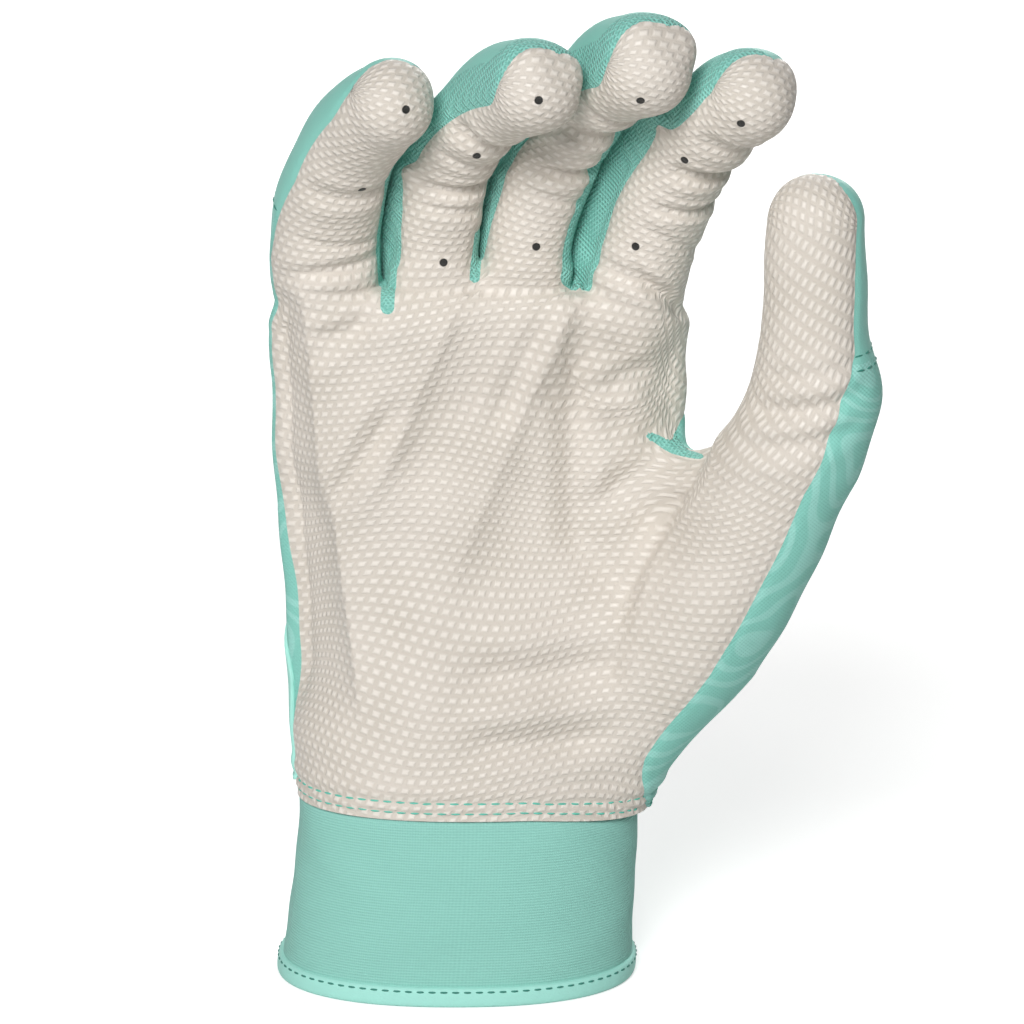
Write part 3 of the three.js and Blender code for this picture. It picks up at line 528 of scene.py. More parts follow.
def slot_distance(x, z, foot_x, foot_z, half, lean):
    """Distance outside a slot with round ends, which rises from its foot and leans towards the thumb."""
    lean = math.radians(lean)
    run = np.clip((x - foot_x) * math.sin(lean) + (z - foot_z) * math.cos(lean), 0, SLOT_LENGTH)
    return np.hypot(x - foot_x - run * math.sin(lean), z - foot_z - run * math.cos(lean)) - half


def digit_seams(d, s, angle):
    """Leather and back numbers on a digit, in millimetres from the seam: the leather lies within the seam's
    angle, which opens over the tip until its two sides meet on the back."""
    half = at(d, d.half, s)
    left, right = (np.radians(np.interp(s, *np.array(side, float).T)) for side in (d.left, d.right))
    side = np.where(angle < 0, left, right)
    start, end = d.over
    opened = np.clip((s - d.length - start) / (end - start), 0, 1) ** 2
    leather = (side + (OVER_ANGLE - side) * opened - np.abs(angle)) * half
    wall = half * KNIT_ANGLE * np.isin(np.where(angle < 0, -1, 1), d.knit)
    if len(d.knit) == 1:
        wall = wall * smoothstep(math.pi, 2.3, np.abs(angle))
    return leather, -leather - wall


def seams(points, along, around, outside, hand):
    x, y, z = points.T
    near_web = smoothstep(43, 51, x) * smoothstep(110, 120, z) * smoothstep(130, 124, z)
    beside_index = smoothstep(38, 46, x) * smoothstep(124, 134, z)
    at_side = (SIDE_SHIFT - SIDE_EASE * smoothstep(80, 125, z)) * smoothstep(-10, -30, x)
    front = section(z)[1] - WEB_SHIFT * near_web + INDEX_SHIFT * beside_index - at_side - y
    leather, back = front.copy(), -front
    for k, d in enumerate(DIGITS):
        if d is THUMB:
            share = smoothstep(-7, 5, hand - outside[k]) * smoothstep(14, 9, outside[k])
        else:
            share = smoothstep(2, 12, along[k]) * smoothstep(2.5, 0.8, outside[k])
        on_leather, on_back = digit_seams(d, along[k], around[k])
        leather += (on_leather - leather) * share
        back += (on_back - back) * share
    for foot_x, foot_z, half, lean in SLOTS:
        leather = np.minimum(leather, slot_distance(x, z, foot_x, foot_z, half, lean))
        back = np.minimum(back, slot_distance(x, z, foot_x, foot_z - SLOT_DROP, half + SLOT_MARGIN, lean))
    x0, z0, x1, z1, half = GUSSET
    run = np.array([x1 - x0, z1 - z0])
    t = np.clip(((x - x0) * run[0] + (z - z0) * run[1]) / (run @ run), 0, 1)
    apart = np.hypot(x - x0 - t * run[0], z - z0 - t * run[1]) - half * np.sqrt(t)
    return np.minimum(leather, apart), back


# %% [markdown]
# ## The emboss
# The palm leather is pressed with rows of short dashes. They lie level on the palm and turn through the ball
# of the thumb to run along it. Three numbers place them: `A`, the distance along a row; `B`, the angle turned
# so far about a pivot above the thumb's web; and `V`, the distance from row to row. A row at V is dashed at
# even steps of A + B V, so no dash stretches as its row turns.

# %% Emboss coordinates
PIVOT = (46.0, 152.0)
TURN = math.radians(62)
GATHER = (14, 112, 24, 0.34)
ROW_WAVE, ROW_TURN, ROW_DRIFT, ROW_PHASE = 3.0, 0.085, -0.05, 0.415


def turning_rows(x, z):
    """Rows that are level left of the pivot, go round it below, and then run on straight."""
    dx, dz = x - PIVOT[0], PIVOT[1] - z
    turned = np.clip(np.arctan2(dx, np.maximum(dz, 1e-3)), 0, TURN)
    turned = np.where((dx > 0) & (dz <= 0), TURN, turned)
    curved, straight = (dx > 0) & (turned < TURN), turned >= TURN
    sine, cosine = math.sin(TURN), math.cos(TURN)
    radius = np.where(straight, dx * sine + dz * cosine, np.where(curved, np.hypot(dx, dz), dz))
    run = np.where(straight, dx * cosine - dz * sine, np.minimum(dx, 0))
    return np.stack([run, turned, radius], 1)


def unrolled(d, s, angle):
    """Flat coordinates on a digit: along it and across its pad. Over the tip, along goes on as the angle from
    the pad over the end, and across as the angle out of that plane."""
    lift = np.clip((s - d.length) / d.tip, 0, math.pi / 2)
    over = np.arctan2(np.sin(lift), np.cos(angle) * np.cos(lift))
    tip = s > d.length
    along = np.where(tip, d.length + d.tip * over, s)
    across = np.where(tip, d.tip * np.arcsin(np.sin(angle) * np.cos(lift)), at(d, d.half, s) * angle)
    return along, across


def drawn_hide(x, z):
    """The hide is drawn together in the hollow of the palm: a mark's distance from its middle grows by a
    share that falls off as a bell. Over the whole palm the rows rise and fall as a slow sine."""
    x0, z0, radius, share = GATHER
    dx, dz = x - x0, z - z0
    closer = 1 + share * np.exp(-(dx ** 2 + dz ** 2) / radius ** 2)
    return x0 + dx * closer, z0 + dz * closer + ROW_WAVE * np.sin(ROW_TURN * dx + ROW_DRIFT * dz + ROW_PHASE)


def emboss(points, along, around, outside):
    x, y, z = points.T
    mid_x, mid_y, wide, deep = section(z)
    beside = x - mid_x
    wrap = np.maximum(y - mid_y + 0.86 * deep, 0) * smoothstep(0.5, 0.9, np.abs(beside) / wide)
    marks = turning_rows(*drawn_hide(x + 0.8 * np.sign(beside) * wrap, z))
    for k, d in enumerate(DIGITS):
        flat, across = unrolled(d, along[k], around[k])
        if d is THUMB:
            share = smoothstep(62, 90, along[k]) * smoothstep(2.5, 0.8, outside[k])
            centre = at(d, d.centre, along[k])
            own = turning_rows(centre[:, 0], centre[:, 2])
            own[:, 0] += np.maximum(flat - d.length, 0)
            own[:, 2] += across
        else:
            share = smoothstep(2, 24, along[k]) * smoothstep(4, 2, outside[k])
            start = d.root[0] - PIVOT[0] + d.half[0] * d.pads[0, 0]
            own = np.stack([start + across, 0 * x, PIVOT[1] - d.root[2] - flat], 1)
        marks += (own - marks) * share[:, None]
    return marks


# %% Numbers at every point of the skin
SEAM_DIP, SEAM_WIDTH = 0.35, 0.9
hand = hand_distance(points)
along, around, outside = places(points)
owner = np.where(hand < outside.min(0), -1, outside.argmin(0))
facing = smoothstep(-2.0, 5.0, section(points[:, 2])[1] - points[:, 1])
leather, back = seams(points, along, around, outside, hand)
marks = emboss(points, along, around, outside)


def vertex_normals(points, faces):
    """Each point's normal is the sum of its faces' area vectors, turned to unit length."""
    a, b, c = points[faces.T]
    area = np.cross(b - a, c - a)
    total = np.zeros_like(points)
    for corner in faces.T:
        for axis in range(3):
            total[:, axis] += np.bincount(corner, area[:, axis], len(points))
    return unit(total)


normals = vertex_normals(points, faces)
on_thumb = owner == DIGITS.index(THUMB)
on_palm = np.where(on_thumb, smoothstep(6, 2, np.abs(hand)), smoothstep(176, 160, points[:, 2]))
lift = relief(points, along, around, outside, facing * on_palm)
lift -= SEAM_DIP * np.exp(-(leather / SEAM_WIDTH) ** 2)
points = points + normals * lift[:, None] + bulge(points, along, outside)
normals = vertex_normals(points, faces)
print("folds move the skin by", round(float(lift.min()), 2), "to", round(float(lift.max()), 2), "mm")

# %% [markdown]
# ## Cutting along the seams
# A cut keeps whole the triangles that lie on one side of a line and splits those that it crosses, so both
# sides get the very same points along it. Each digit is cut off where its base joint starts to bend it and
# again between its two joints, because every piece may bend at one joint only.

# %% Cutting
PLACE, NORMAL, MARKS, VENT = slice(0, 3), slice(3, 6), slice(6, 9), slice(9, 12)
LEATHER, BACK, ABOVE_HEM, PAST_BASE, PAST_MIDDLE, THUMB_RUN = range(12, 18)
NO_VENT = 50.0
VENTS = (
    (LITTLE, 80.2, 0.02), (LITTLE, 48.1, 0.2), (RING, 90.2, -0.67), (RING, 57.1, -0.11), (RING, 18.9, -0.16),
    (MIDDLE, 85.3, -0.34), (MIDDLE, 20.7, -0.25),
    (INDEX, 72.8, -0.35), (INDEX, 52.5, -0.58), (INDEX, 23.2, -0.69),
)


def vent_offsets():
    """The way from the nearest ventilation hole, given by digit, distance and angle, to each point."""
    offset = np.full((len(points), 3), NO_VENT)
    for d, place, angle in VENTS:
        k = DIGITS.index(d)
        miss = np.hypot(along[k] - place, d.tip * (around[k] - angle)) + 100 * (owner != k)
        own = points - points[miss.argmin()]
        nearer = (own ** 2).sum(1) < (offset ** 2).sum(1)
        offset[nearer] = own[nearer]
    return offset


def stretch_ends(d, which):
    """The two points between which the skin of a joint bends."""
    s = np.array([d.base if which == "base" else d.joint], float)
    centre, way = at(d, d.centre, s)[0], unit(at(d, d.along, s))[0]
    return centre - STRETCH * way, centre + STRETCH * way


def past_plane(d, which):
    """How far each point lies past the plane at which a digit is cut."""
    if which == "base":
        low, high = stretch_ends(d, "base")
        return (points - low) @ unit(high - low)
    middle = (stretch_ends(d, "base")[1] + stretch_ends(d, "upper")[0]) / 2
    way = unit(stretch_ends(d, "upper")[0] - stretch_ends(d, "base")[1])
    return (points - middle) @ way


def cut(data, faces, level):
    """Splits triangles along level = 0; gives the data with the new points, and the faces above and below."""
    above = level > 0
    count = above[faces].sum(1)
    crossed = faces[(count == 1) | (count == 2)]
    lone_above = above[crossed].sum(1) == 1
    turn = (above[crossed] == lone_above[:, None]).argmax(1)
    a, b, c = np.take_along_axis(crossed, (turn[:, None] + np.arange(3)) % 3, 1).T
    edges = np.sort(np.concatenate([np.stack([a, b], 1), np.stack([a, c], 1)]), 1)
    unique, number = np.unique(edges, axis=0, return_inverse=True)
    first, last = unique.T
    share = (level[first] / (level[first] - level[last]))[:, None]
    ab, ac = np.split(len(data) + number.ravel(), 2)
    data = np.vstack([data, data[first] + (data[last] - data[first]) * share])
    lone = np.stack([a, ab, ac], 1)
    pair = np.concatenate([np.stack([ab, b, c], 1), np.stack([ab, c, ac], 1)])
    twice = np.concatenate([lone_above, lone_above])
    up = np.concatenate([faces[count == 3], lone[lone_above], pair[~twice]])
    down = np.concatenate([faces[count == 0], lone[~lone_above], pair[twice]])
    return data, up, down


skin = np.column_stack([
    points, normals, marks, vent_offsets(), leather, back, points[:, 2] - hem_line(points[:, 0]),
    np.choose(owner, [past_plane(d, "base") for d in DIGITS], mode="clip"),
    np.choose(owner, [past_plane(d, "middle") for d in DIGITS], mode="clip"), along[4],
])
skin, faces, _ = cut(skin, faces, skin[:, ABOVE_HEM])
owner = np.concatenate([owner, np.full(len(skin) - len(owner), -1)])
face_owner = np.where((owner[faces] == owner[faces[:, :1]]).all(1), owner[faces[:, 0]], -1)
regions, hand_faces = {}, [faces[face_owner < 0]]
for k, d in enumerate(DIGITS):
    skin, past, before = cut(skin, faces[face_owner == k], skin[:, PAST_BASE])
    hand_faces.append(before)
    skin, upper, lower = cut(skin, past, skin[:, PAST_MIDDLE])
    regions[d.name + "_lower"], regions[d.name + "_upper"] = lower, upper
regions["hand"] = np.concatenate(hand_faces)
print("regions:", {name: len(part) for name, part in regions.items()})


# %% [markdown]
# ## Finishes
# The finishes are formulas too. A `Wire` is one value on its way through a shader tree: adding or multiplying
# wires adds the Math nodes, so a pattern reads as its formula. `marks` are the flat coordinates that each
# piece carries in millimetres, which stay with the cloth when it bends.

# %% Shader wires
class Wire:
    """One value in a shader tree. Arithmetic with numbers or other wires adds Math nodes."""

    def __init__(self, tree, socket):
        self.tree, self.socket = tree, socket

    def node(self, kind, inputs, output=0, **settings):
        """Any node: its kind, its inputs by name or number, the output to follow, and its settings."""
        made = self.tree.nodes.new(kind)
        for key, value in settings.items():
            setattr(made, key, value)
        for key, value in inputs.items():
            feed(self.tree, made.inputs[key], value)
        return Wire(self.tree, made.outputs[output])

    def math(self, operation, *values):
        return self.node("ShaderNodeMath", dict(enumerate(values)), operation=operation)

    def __add__(self, other):
        return self.math("ADD", self, other)

    def __sub__(self, other):
        return self.math("SUBTRACT", self, other)

    def __rsub__(self, other):
        return self.math("SUBTRACT", other, self)

    def __mul__(self, other):
        return self.math("MULTIPLY", self, other)

    def __truediv__(self, other):
        return self.math("DIVIDE", self, other)

    def __mod__(self, other):
        return self.math("FLOORED_MODULO", self, other)

    def __abs__(self):
        return self.math("ABSOLUTE", self)

    def floor(self):
        return self.math("FLOOR", self)

    def sin(self):
        return self.math("SINE", self)

    def wave(self, step):
        """A sine wave that repeats at every step."""
        return (self * (2 * math.pi / step)).sin()

    def max(self, other):
        return self.math("MAXIMUM", self, other)

    def ramp(self, low, high):
        """0 below low and 1 above high, or the other way round, with a smooth step between."""
        ends = {"Value": self, "From Min": min(low, high), "From Max": max(low, high)}
        ends |= {"To Min": float(low > high), "To Max": float(low < high)}
        return self.node("ShaderNodeMapRange", ends, interpolation_type="SMOOTHSTEP")

    def choose(self, without, with_it):
        """A colour between two, by this wire."""
        return self.node("ShaderNodeMix", {0: self, 6: without, 7: with_it}, 2, data_type="RGBA")


def feed(tree, socket, value):
    if isinstance(value, Wire):
        tree.links.new(value.socket, socket)
    else:
        socket.default_value = value


def srgb(red, green, blue):
    """A colour as a screen gives it, 0 to 255, turned to the linear light that shaders mix."""
    share = np.array([red, green, blue]) / 255
    return (*np.where(share < 0.04045, share / 12.92, ((share + 0.055) / 1.055) ** 2.4).tolist(), 1.0)


class Finish:
    """A material with its shader, and the wires that patterns start from."""

    def __init__(self, name, color, roughness, sheen=0.0):
        self.material = bpy.data.materials.new(name)
        self.material.use_nodes = True
        self.tree = self.material.node_tree
        self.shader = self.tree.nodes["Principled BSDF"]
        self.material.diffuse_color = color
        self.set("Base Color", color)
        self.set("Roughness", roughness)
        self.set("Sheen Weight", sheen)
        self.set("Sheen Roughness", 0.5)
        self.set("Specular IOR Level", 0.35)
        self.start = Wire(self.tree, None)

    def set(self, name, value):
        feed(self.tree, self.shader.inputs[name], value)

    def attribute(self, name):
        vector = self.start.node("ShaderNodeAttribute", {}, 1, attribute_name=name)
        return vector, [vector.node("ShaderNodeSeparateXYZ", {0: vector}, i) for i in range(3)]

    def noise(self, vector, scale, detail=2.0):
        inputs = {"Vector": vector, "Scale": scale, "Detail": detail, "Roughness": 0.5}
        return self.start.node("ShaderNodeTexNoise", inputs, 0)

    def bump(self, height):
        """Raises the finish by a height in millimetres."""
        inputs = {"Height": height, "Strength": 1.0, "Distance": MM}
        self.set("Normal", self.start.node("ShaderNodeBump", inputs))


# %% [markdown]
# ### Embossed leather
# Rows of dashes, each row half a step along from the next, pressed into a soft cream hide. The dashes are the
# high places: a little shinier than the hide between them, and paler, which is partly their own tone and
# partly painted highlight. Ventilation holes are painted shade: near-black spots with a slight dip, for the
# shadow inside each hole.

# %% Embossed leather
DASH_STEP, ROW_STEP = 2.6, 1.95
DASH_LENGTH, DASH_WIDTH, DASH_SLANT = 1.5, 1.0, 0.35
VENT_RADIUS = 0.85


def leather_finish():
    finish = Finish("embossed_leather", srgb(216, 209, 199), 0.55, 0.1)
    vector, (run, turned, across) = finish.attribute("marks")
    _, (vent_x, vent_y, vent_z) = finish.attribute("vent")
    row = (across / ROW_STEP).floor()
    place = run + turned * (row + 0.5) * ROW_STEP + (row % 2) * (DASH_STEP / 2)
    up = across % ROW_STEP - ROW_STEP / 2
    beside = abs((place + up * DASH_SLANT) % DASH_STEP - DASH_STEP / 2) - DASH_LENGTH / 2
    # The dash mask raises the bump and the shine, and makes the colour paler: partly the dashes' own tone,
    # partly painted highlight.
    raised_and_painted_highlight = beside.max(abs(up) - DASH_WIDTH / 2).ramp(0.32, -0.3)
    mottle = finish.noise(vector, 0.06)
    grain = finish.noise(vector, 3.0)
    off_vent = vent_x * vent_x + vent_y * vent_y + vent_z * vent_z
    # Each ventilation hole is painted shade: a near-black spot for the shadow inside the hole, with a slight
    # dip in the bump.
    hole_dip_and_painted_shade = off_vent.ramp(VENT_RADIUS ** 2 * 1.2, VENT_RADIUS ** 2 * 0.8)
    hide = mottle.ramp(0.3, 0.7).choose(srgb(203, 195, 184), srgb(210, 202, 192))
    finish.set("Base Color", hole_dip_and_painted_shade.choose(raised_and_painted_highlight.choose(hide, srgb(227, 220, 211)), srgb(38, 38, 36)))
    finish.set("Roughness", 0.6 - raised_and_painted_highlight * 0.16)
    finish.bump(raised_and_painted_highlight * 0.17 + grain * 0.05 - hole_dip_and_painted_shade * 0.5)
    return finish.material


# %% [markdown]
# ### Cloths
# The back is stretch cloth printed with tone-on-tone wavy contour lines; the finger backs are smooth coated
# microfibre; the fourchettes a coarse mesh knit; the cuff a fine rib knit; the binding a pale folded tape.

# %% Cloths
MINT = srgb(136, 203, 190)
KNIT_STEP, RIB_STEP, RIB_STITCH = 1.05, 0.62, 0.5
CONTOURS, WEAVE = 13.0, 7.0


def print_finish():
    finish = Finish("printed_stretch_cloth", MINT, 0.75, 0.08)
    vector, (x, _, z) = finish.attribute("place")
    contour = (finish.noise(vector, 0.042, 0.6) * (2 * math.pi * CONTOURS)).sin()
    weave = (x * WEAVE).sin() * (z * WEAVE).sin()
    finish.set("Base Color", contour.ramp(0.0, 0.7).choose(srgb(134, 202, 189), srgb(152, 213, 202)))
    finish.bump(weave * 0.05)
    return finish.material


def smooth_finish(name, color, roughness=0.55):
    finish = Finish(name, color, roughness, 0.05)
    vector, _ = finish.attribute("place")
    finish.bump(finish.noise(vector, 2.2) * 0.07)
    return finish.material


def knit_finish():
    finish = Finish("mesh_knit", MINT, 0.85, 0.1)
    _, place = finish.attribute("place")
    x, y, z = (part * (2 * math.pi / KNIT_STEP) for part in place)
    quarter = math.pi / 2
    loop = x.sin() * (y + quarter).sin() + y.sin() * (z + quarter).sin() + z.sin() * (x + quarter).sin()
    finish.set("Base Color", loop.ramp(-1.2, 1.0).choose(srgb(122, 190, 177), srgb(142, 208, 196)))
    finish.bump(loop * 0.1)
    return finish.material


def rib_finish():
    finish = Finish("rib_knit", srgb(143, 203, 191), 0.85, 0.05)
    _, (run, _, up) = finish.attribute("marks")
    rib, stitch = up.wave(RIB_STEP), run.wave(RIB_STITCH)
    light = (rib + stitch * 0.5).ramp(-1.3, 1.2)
    finish.set("Base Color", light.choose(srgb(138, 198, 186), srgb(150, 209, 197)))
    finish.bump(rib * 0.035 + stitch * 0.015)
    return finish.material


def tape_finish(name, color, bristle):
    finish = Finish(name, color, 0.9, 0.2)
    _, (run, _, up) = finish.attribute("marks")
    finish.bump(run.wave(bristle) * up.wave(bristle) * 0.15)
    return finish.material


LEATHER_FINISH = leather_finish()
PRINT_FINISH = print_finish()
BACK_FINISH = smooth_finish("coated_microfibre", srgb(136, 202, 189))
STRAP_FINISH = smooth_finish("moulded_strap", srgb(126, 204, 187), 0.5)
KNIT_FINISH = knit_finish()
RIB_FINISH = rib_finish()
BINDING_FINISH = smooth_finish("folded_binding", srgb(166, 226, 214), 0.7)
LOOP_FINISH = tape_finish("loop_tape", srgb(150, 214, 200), 0.8)
HOOK_FINISH = tape_finish("hook_tape", srgb(190, 198, 196), 1.1)
MINT_THREAD = smooth_finish("mint_thread", srgb(96, 190, 170), 0.6)
DARK_THREAD = smooth_finish("dark_thread", srgb(58, 132, 118), 0.6)
print("finishes:", len(bpy.data.materials))

# %% [markdown]
# ## Sewing the skin
# Each cut piece becomes a closed shell: the outside, the same a hide's thickness further in, and a rim
# between them. Its normals come from the whole skin, so no line shows where a piece ends for a joint's sake.

# %% Shells
HIDE = 0.9
PANELS = {
    "leather": ("palm_leather", LEATHER_FINISH), "print": ("back_fabric", PRINT_FINISH),
    "back": ("finger_back", BACK_FINISH), "knit": ("fourchette_knit", KNIT_FINISH),
}


def mesh_object(name, points, faces, normals, finish, marks=None, vent=None):
    """A mesh in the row frame, with its flat coordinates, from points in the glove's millimetres."""
    mesh = bpy.data.meshes.new(name)
    mesh.from_pydata((points + ROW) * MM, [], faces)
    mesh.polygons.foreach_set("use_smooth", np.ones(len(mesh.polygons), bool))
    if normals is not None:
        mesh.normals_split_custom_set_from_vertices(normals)
    for label, values in (("marks", marks), ("vent", vent), ("place", points)):
        if values is not None:
            layer = mesh.attributes.new(label, "FLOAT_VECTOR", "POINT")
            layer.data.foreach_set("vector", np.asarray(values, np.float32).ravel())
    mesh.materials.append(finish)
    made = bpy.data.objects.new(name, mesh)
    bpy.context.scene.collection.objects.link(made)
    return made


def shell(name, faces, thickness, finish):
    """A closed shell from faces of the skin: outside, inside and the rim along every open edge."""
    used, faces = np.unique(faces, return_inverse=True)
    faces = faces.reshape(-1, 3)
    data = skin[used]
    count = len(data)
    normals = unit(data[:, NORMAL])
    start = np.concatenate([faces[:, i] for i in range(3)])
    end = np.concatenate([faces[:, (i + 1) % 3] for i in range(3)])
    open_edge = ~np.isin(start * count + end, end * count + start)
    i, j = start[open_edge], end[open_edge]
    rim = np.concatenate([np.stack([j, i, i + count], 1), np.stack([j, i + count, j + count], 1)])
    every = np.concatenate([faces, faces[:, ::-1] + count, rim])
    both = np.concatenate([data[:, PLACE], data[:, PLACE] - thickness * normals])
    return mesh_object(
        name, both, every, np.concatenate([normals, -normals]), finish,
        np.tile(data[:, MARKS], (2, 1)), np.tile(data[:, VENT], (2, 1)),
    )


def to_row(point):
    return Vector(((point + ROW) * MM).tolist())


def bending(d, which):
    """The two bodies that one joint of a digit turns, and the ends of the stretch that bends between them."""
    parent, child = ("hand", d.name + "_lower") if which == "base" else (d.name + "_lower", d.name + "_upper")
    return parent, child, *map(to_row, stretch_ends(d, which))


def join(piece, nodes, body=None, bend=None):
    """Hides the plain solids that a piece stands in for. Where a bend is given it bakes the piece's place
    into its points, and otherwise it fixes the piece to the body that it rides on."""
    if nodes:
        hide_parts(*nodes)
    if bend:
        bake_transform(piece)
    else:
        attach(piece, body)


def sew(name, faces, kind, body, nodes):
    """One piece of the skin, riding on the hand, or, on a digit, with its place baked into its points."""
    slot, finish = PANELS[kind]
    bend = None
    if body != "hand":
        d = next(d for d in DIGITS if body.startswith(d.name))
        bend = bending(d, "base" if body.endswith("lower") else "upper")
    join(shell(name, faces, HIDE, finish), nodes, body, bend)


# %% Palm, back and webs
OVERLAP = 0.02
GUSSET_SIDE = 36.0


def split(data, faces):
    """The data with the new points, and the leather, back and knit faces of a region."""
    data, front, rest = cut(data, faces, data[:, LEATHER])
    data, rear, knit = cut(data, rest, data[:, BACK] + OVERLAP)
    return data, front, rear, knit


skin, palm, rear, knit = split(skin, regions["hand"])
sew("palm", palm, "leather", "hand", ("palm_leather", "thumb_base_leather"))
sew("hand_back", rear, "print", "hand", ("back_panel", "thumb_base_back"))
knit_x = skin[knit][:, :, 0].mean(1)
slot_of = np.abs(knit_x[:, None] - np.array([s[0] for s in SLOTS])).argmin(1)
for k, (a, b) in enumerate(zip(FINGERS, FINGERS[1:])):
    web = f"{a.name}_{b.name}"
    sew("web_" + web, knit[(slot_of == k) & (knit_x < GUSSET_SIDE)], "knit", "hand", ("fourchette_" + web,))
sew("thumb_gusset", knit[knit_x >= GUSSET_SIDE], "knit", "hand", ())
print("palm", len(palm), "back", len(rear), "webs", len(knit))

# %% Digits
THUMB_SEAM = 116.2
for d in DIGITS:
    for part in ("lower", "upper"):
        body = f"{d.name}_{part}"
        skin, front, rear, knit = split(skin, regions[body])
        bend = f"{d.name}_{'base' if part == 'lower' else 'upper'}_flex"
        sew(body + "_pad", front, "leather", body, (body + "_leather", bend))
        if body == "thumb_upper":
            skin, rear, below = cut(skin, rear, skin[:, THUMB_RUN] - THUMB_SEAM)
            sew("thumb_upper_print", below, "print", body, ())
        sew(body + "_back", rear, "print" if part == "lower" else "back", body, (body + "_back",))
        if d.knit and len(knit):
            sides = [f"{d.name}_fourchette_{'outer' if side < 0 else 'inner'}" for side in d.knit]
            sew(body + "_knit", knit, "knit", body, sides if part == "upper" else ())
        print(body, len(front), len(rear), len(knit))

# %% [markdown]
# ## Flat pieces
# Patches, tapes and straps are flat goods laid round the wrist: a grid in millimetres along and up, with an
# outside that rounds off towards every border until it meets the inside. A function places the grid on the
# hand's section at a depth, so one helper makes them all.

# %% Patches
def rows(low, high, step, rounding):
    """Places from low to high at even steps, with closer ones inside each border for the rounding."""
    border = rounding * np.array([0, 0.06, 0.2, 0.45, 0.75, 1.0])
    count = max(int((high - low - 2 * rounding) / step), 2)
    middle = np.linspace(low + rounding, high - rounding, count + 1)[1:-1]
    return np.concatenate([low + border, middle, high - border[::-1]])


def rounded(value, low, high, rounding):
    """Height of a rounded border: a quarter circle from 0 at each end of the range up to 1."""
    inset = np.clip(np.minimum(value - low, high - value) / rounding, 0, 1)
    return np.sqrt(1 - (1 - inset) ** 2)


def patch(name, place, span, rise, depth, thickness, rounding, finish, step=0.8):
    """A closed patch: the inside at a depth, the outside a thickness further out, less at the borders. The
    inside shares the outside's border points, so nothing is left open."""
    u, v = np.meshgrid(rows(*span, step, rounding), rows(*rise, step, rounding), indexing="ij")
    swell = thickness * rounded(u, *span, rounding) * rounded(v, *rise, rounding)
    outer, inner = place(u, v, depth - swell), place(u, v, depth + 0 * u)
    top = np.arange(u.size).reshape(u.shape)
    border = np.ones(u.shape, bool)
    border[1:-1, 1:-1] = False
    bottom = np.where(border, top, top + u.size)
    quad = lambda n: np.stack([n[:-1, :-1], n[1:, :-1], n[1:, 1:], n[:-1, 1:]], -1).reshape(-1, 4)
    points = np.concatenate([outer.reshape(-1, 3), inner.reshape(-1, 3)])
    flat = np.tile(np.stack([u, 0 * u, v], -1).reshape(-1, 3), (2, 1))
    used, faces = np.unique(np.concatenate([quad(top), quad(bottom)[:, ::-1]]), return_inverse=True)
    faces = faces.reshape(-1, 4)
    points, flat = points[used], flat[used]
    if outwards_share(points, faces) < 0:
        faces = faces[:, ::-1]
    return mesh_object(name, points, faces.tolist(), None, finish, flat)


def outwards_share(points, faces):
    """The volume inside the faces, which is negative where they point inwards."""
    a, b, c, d = (points[faces[:, i]] - points.mean(0) for i in range(4))
    return float((np.cross(c - a, d - b) * (a + b + c + d)).sum())


def on_back(x, z, depth):
    """A point on the back of the wrist, given across and up."""
    return on_hand(z, back_angle(z, x), depth)


# %% [markdown]
# ## Cuff
# A knit band goes round the wrist from one edge of the slit at the back to the other. Its top is tucked under
# the leather's lower edge, its lower edge is folded into a binding, and a thin insert closes the slit inside.

# %% Wristband
SLIT_HALF = 3.0
BAND_DEPTH, BAND_THICKNESS = 0.35, 1.1
TUCK, RIPPLE = 1.0, 0.22
GIRTH_HEIGHT = 20.0


def round_wrist(share, z, depth):
    """A point round the wrist: share 0 at one edge of the slit, past the palm, to 1 at the other."""
    middle = section(z)[0]
    start, end = back_angle(z, middle - SLIT_HALF) - 2 * np.pi, back_angle(z, middle + SLIT_HALF)
    return on_hand(z, start + (end - start) * share, depth)


def band_place(run, z, depth):
    share = run / BAND_LENGTH
    point = round_wrist(share, z, depth)
    hem = hem_line(point[..., 0])
    tucked = TUCK * smoothstep(hem - 1.2, hem + 0.6, z)
    ripple = RIPPLE * np.sin(0.19 * run + 1.1 * np.sin(0.22 * z)) * np.sin(0.23 * z + 0.05 * run)
    return round_wrist(share, z, depth + tucked + ripple * smoothstep(2, 8, z))


girth = round_wrist(np.linspace(0, 1, 400), np.full(400, GIRTH_HEIGHT), 0)
BAND_LENGTH = float(np.linalg.norm(np.diff(girth, axis=0), axis=1).sum())
band = patch(
    "wristband", band_place, (0, BAND_LENGTH), (2.0, CUFF_TOP + 2.5), BAND_DEPTH + BAND_THICKNESS,
    BAND_THICKNESS, 0.4, RIB_FINISH, 1.0,
)
join(band, ("wristband_palm", "wristband_back_inner", "wristband_back_outer"), "hand")
print("wristband", round(BAND_LENGTH, 1), "mm round")

# %% Slit insert
INSERT_HALF = 8.0
insert = patch(
    "slit_insert", lambda x, z, depth: on_back(x + section(z)[0], z, depth), (-INSERT_HALF, INSERT_HALF),
    (0.6, CUFF_TOP - 1), 2.6, 0.9, 0.4, RIB_FINISH,
)
join(insert, ("vent_insert",), "hand")


# %% [markdown]
# ### Hem binding
# A pale tape is folded over the cuff's mouth and sewn through. It is one profile, a slim loop that is rounder
# at the fold, carried round the wrist.

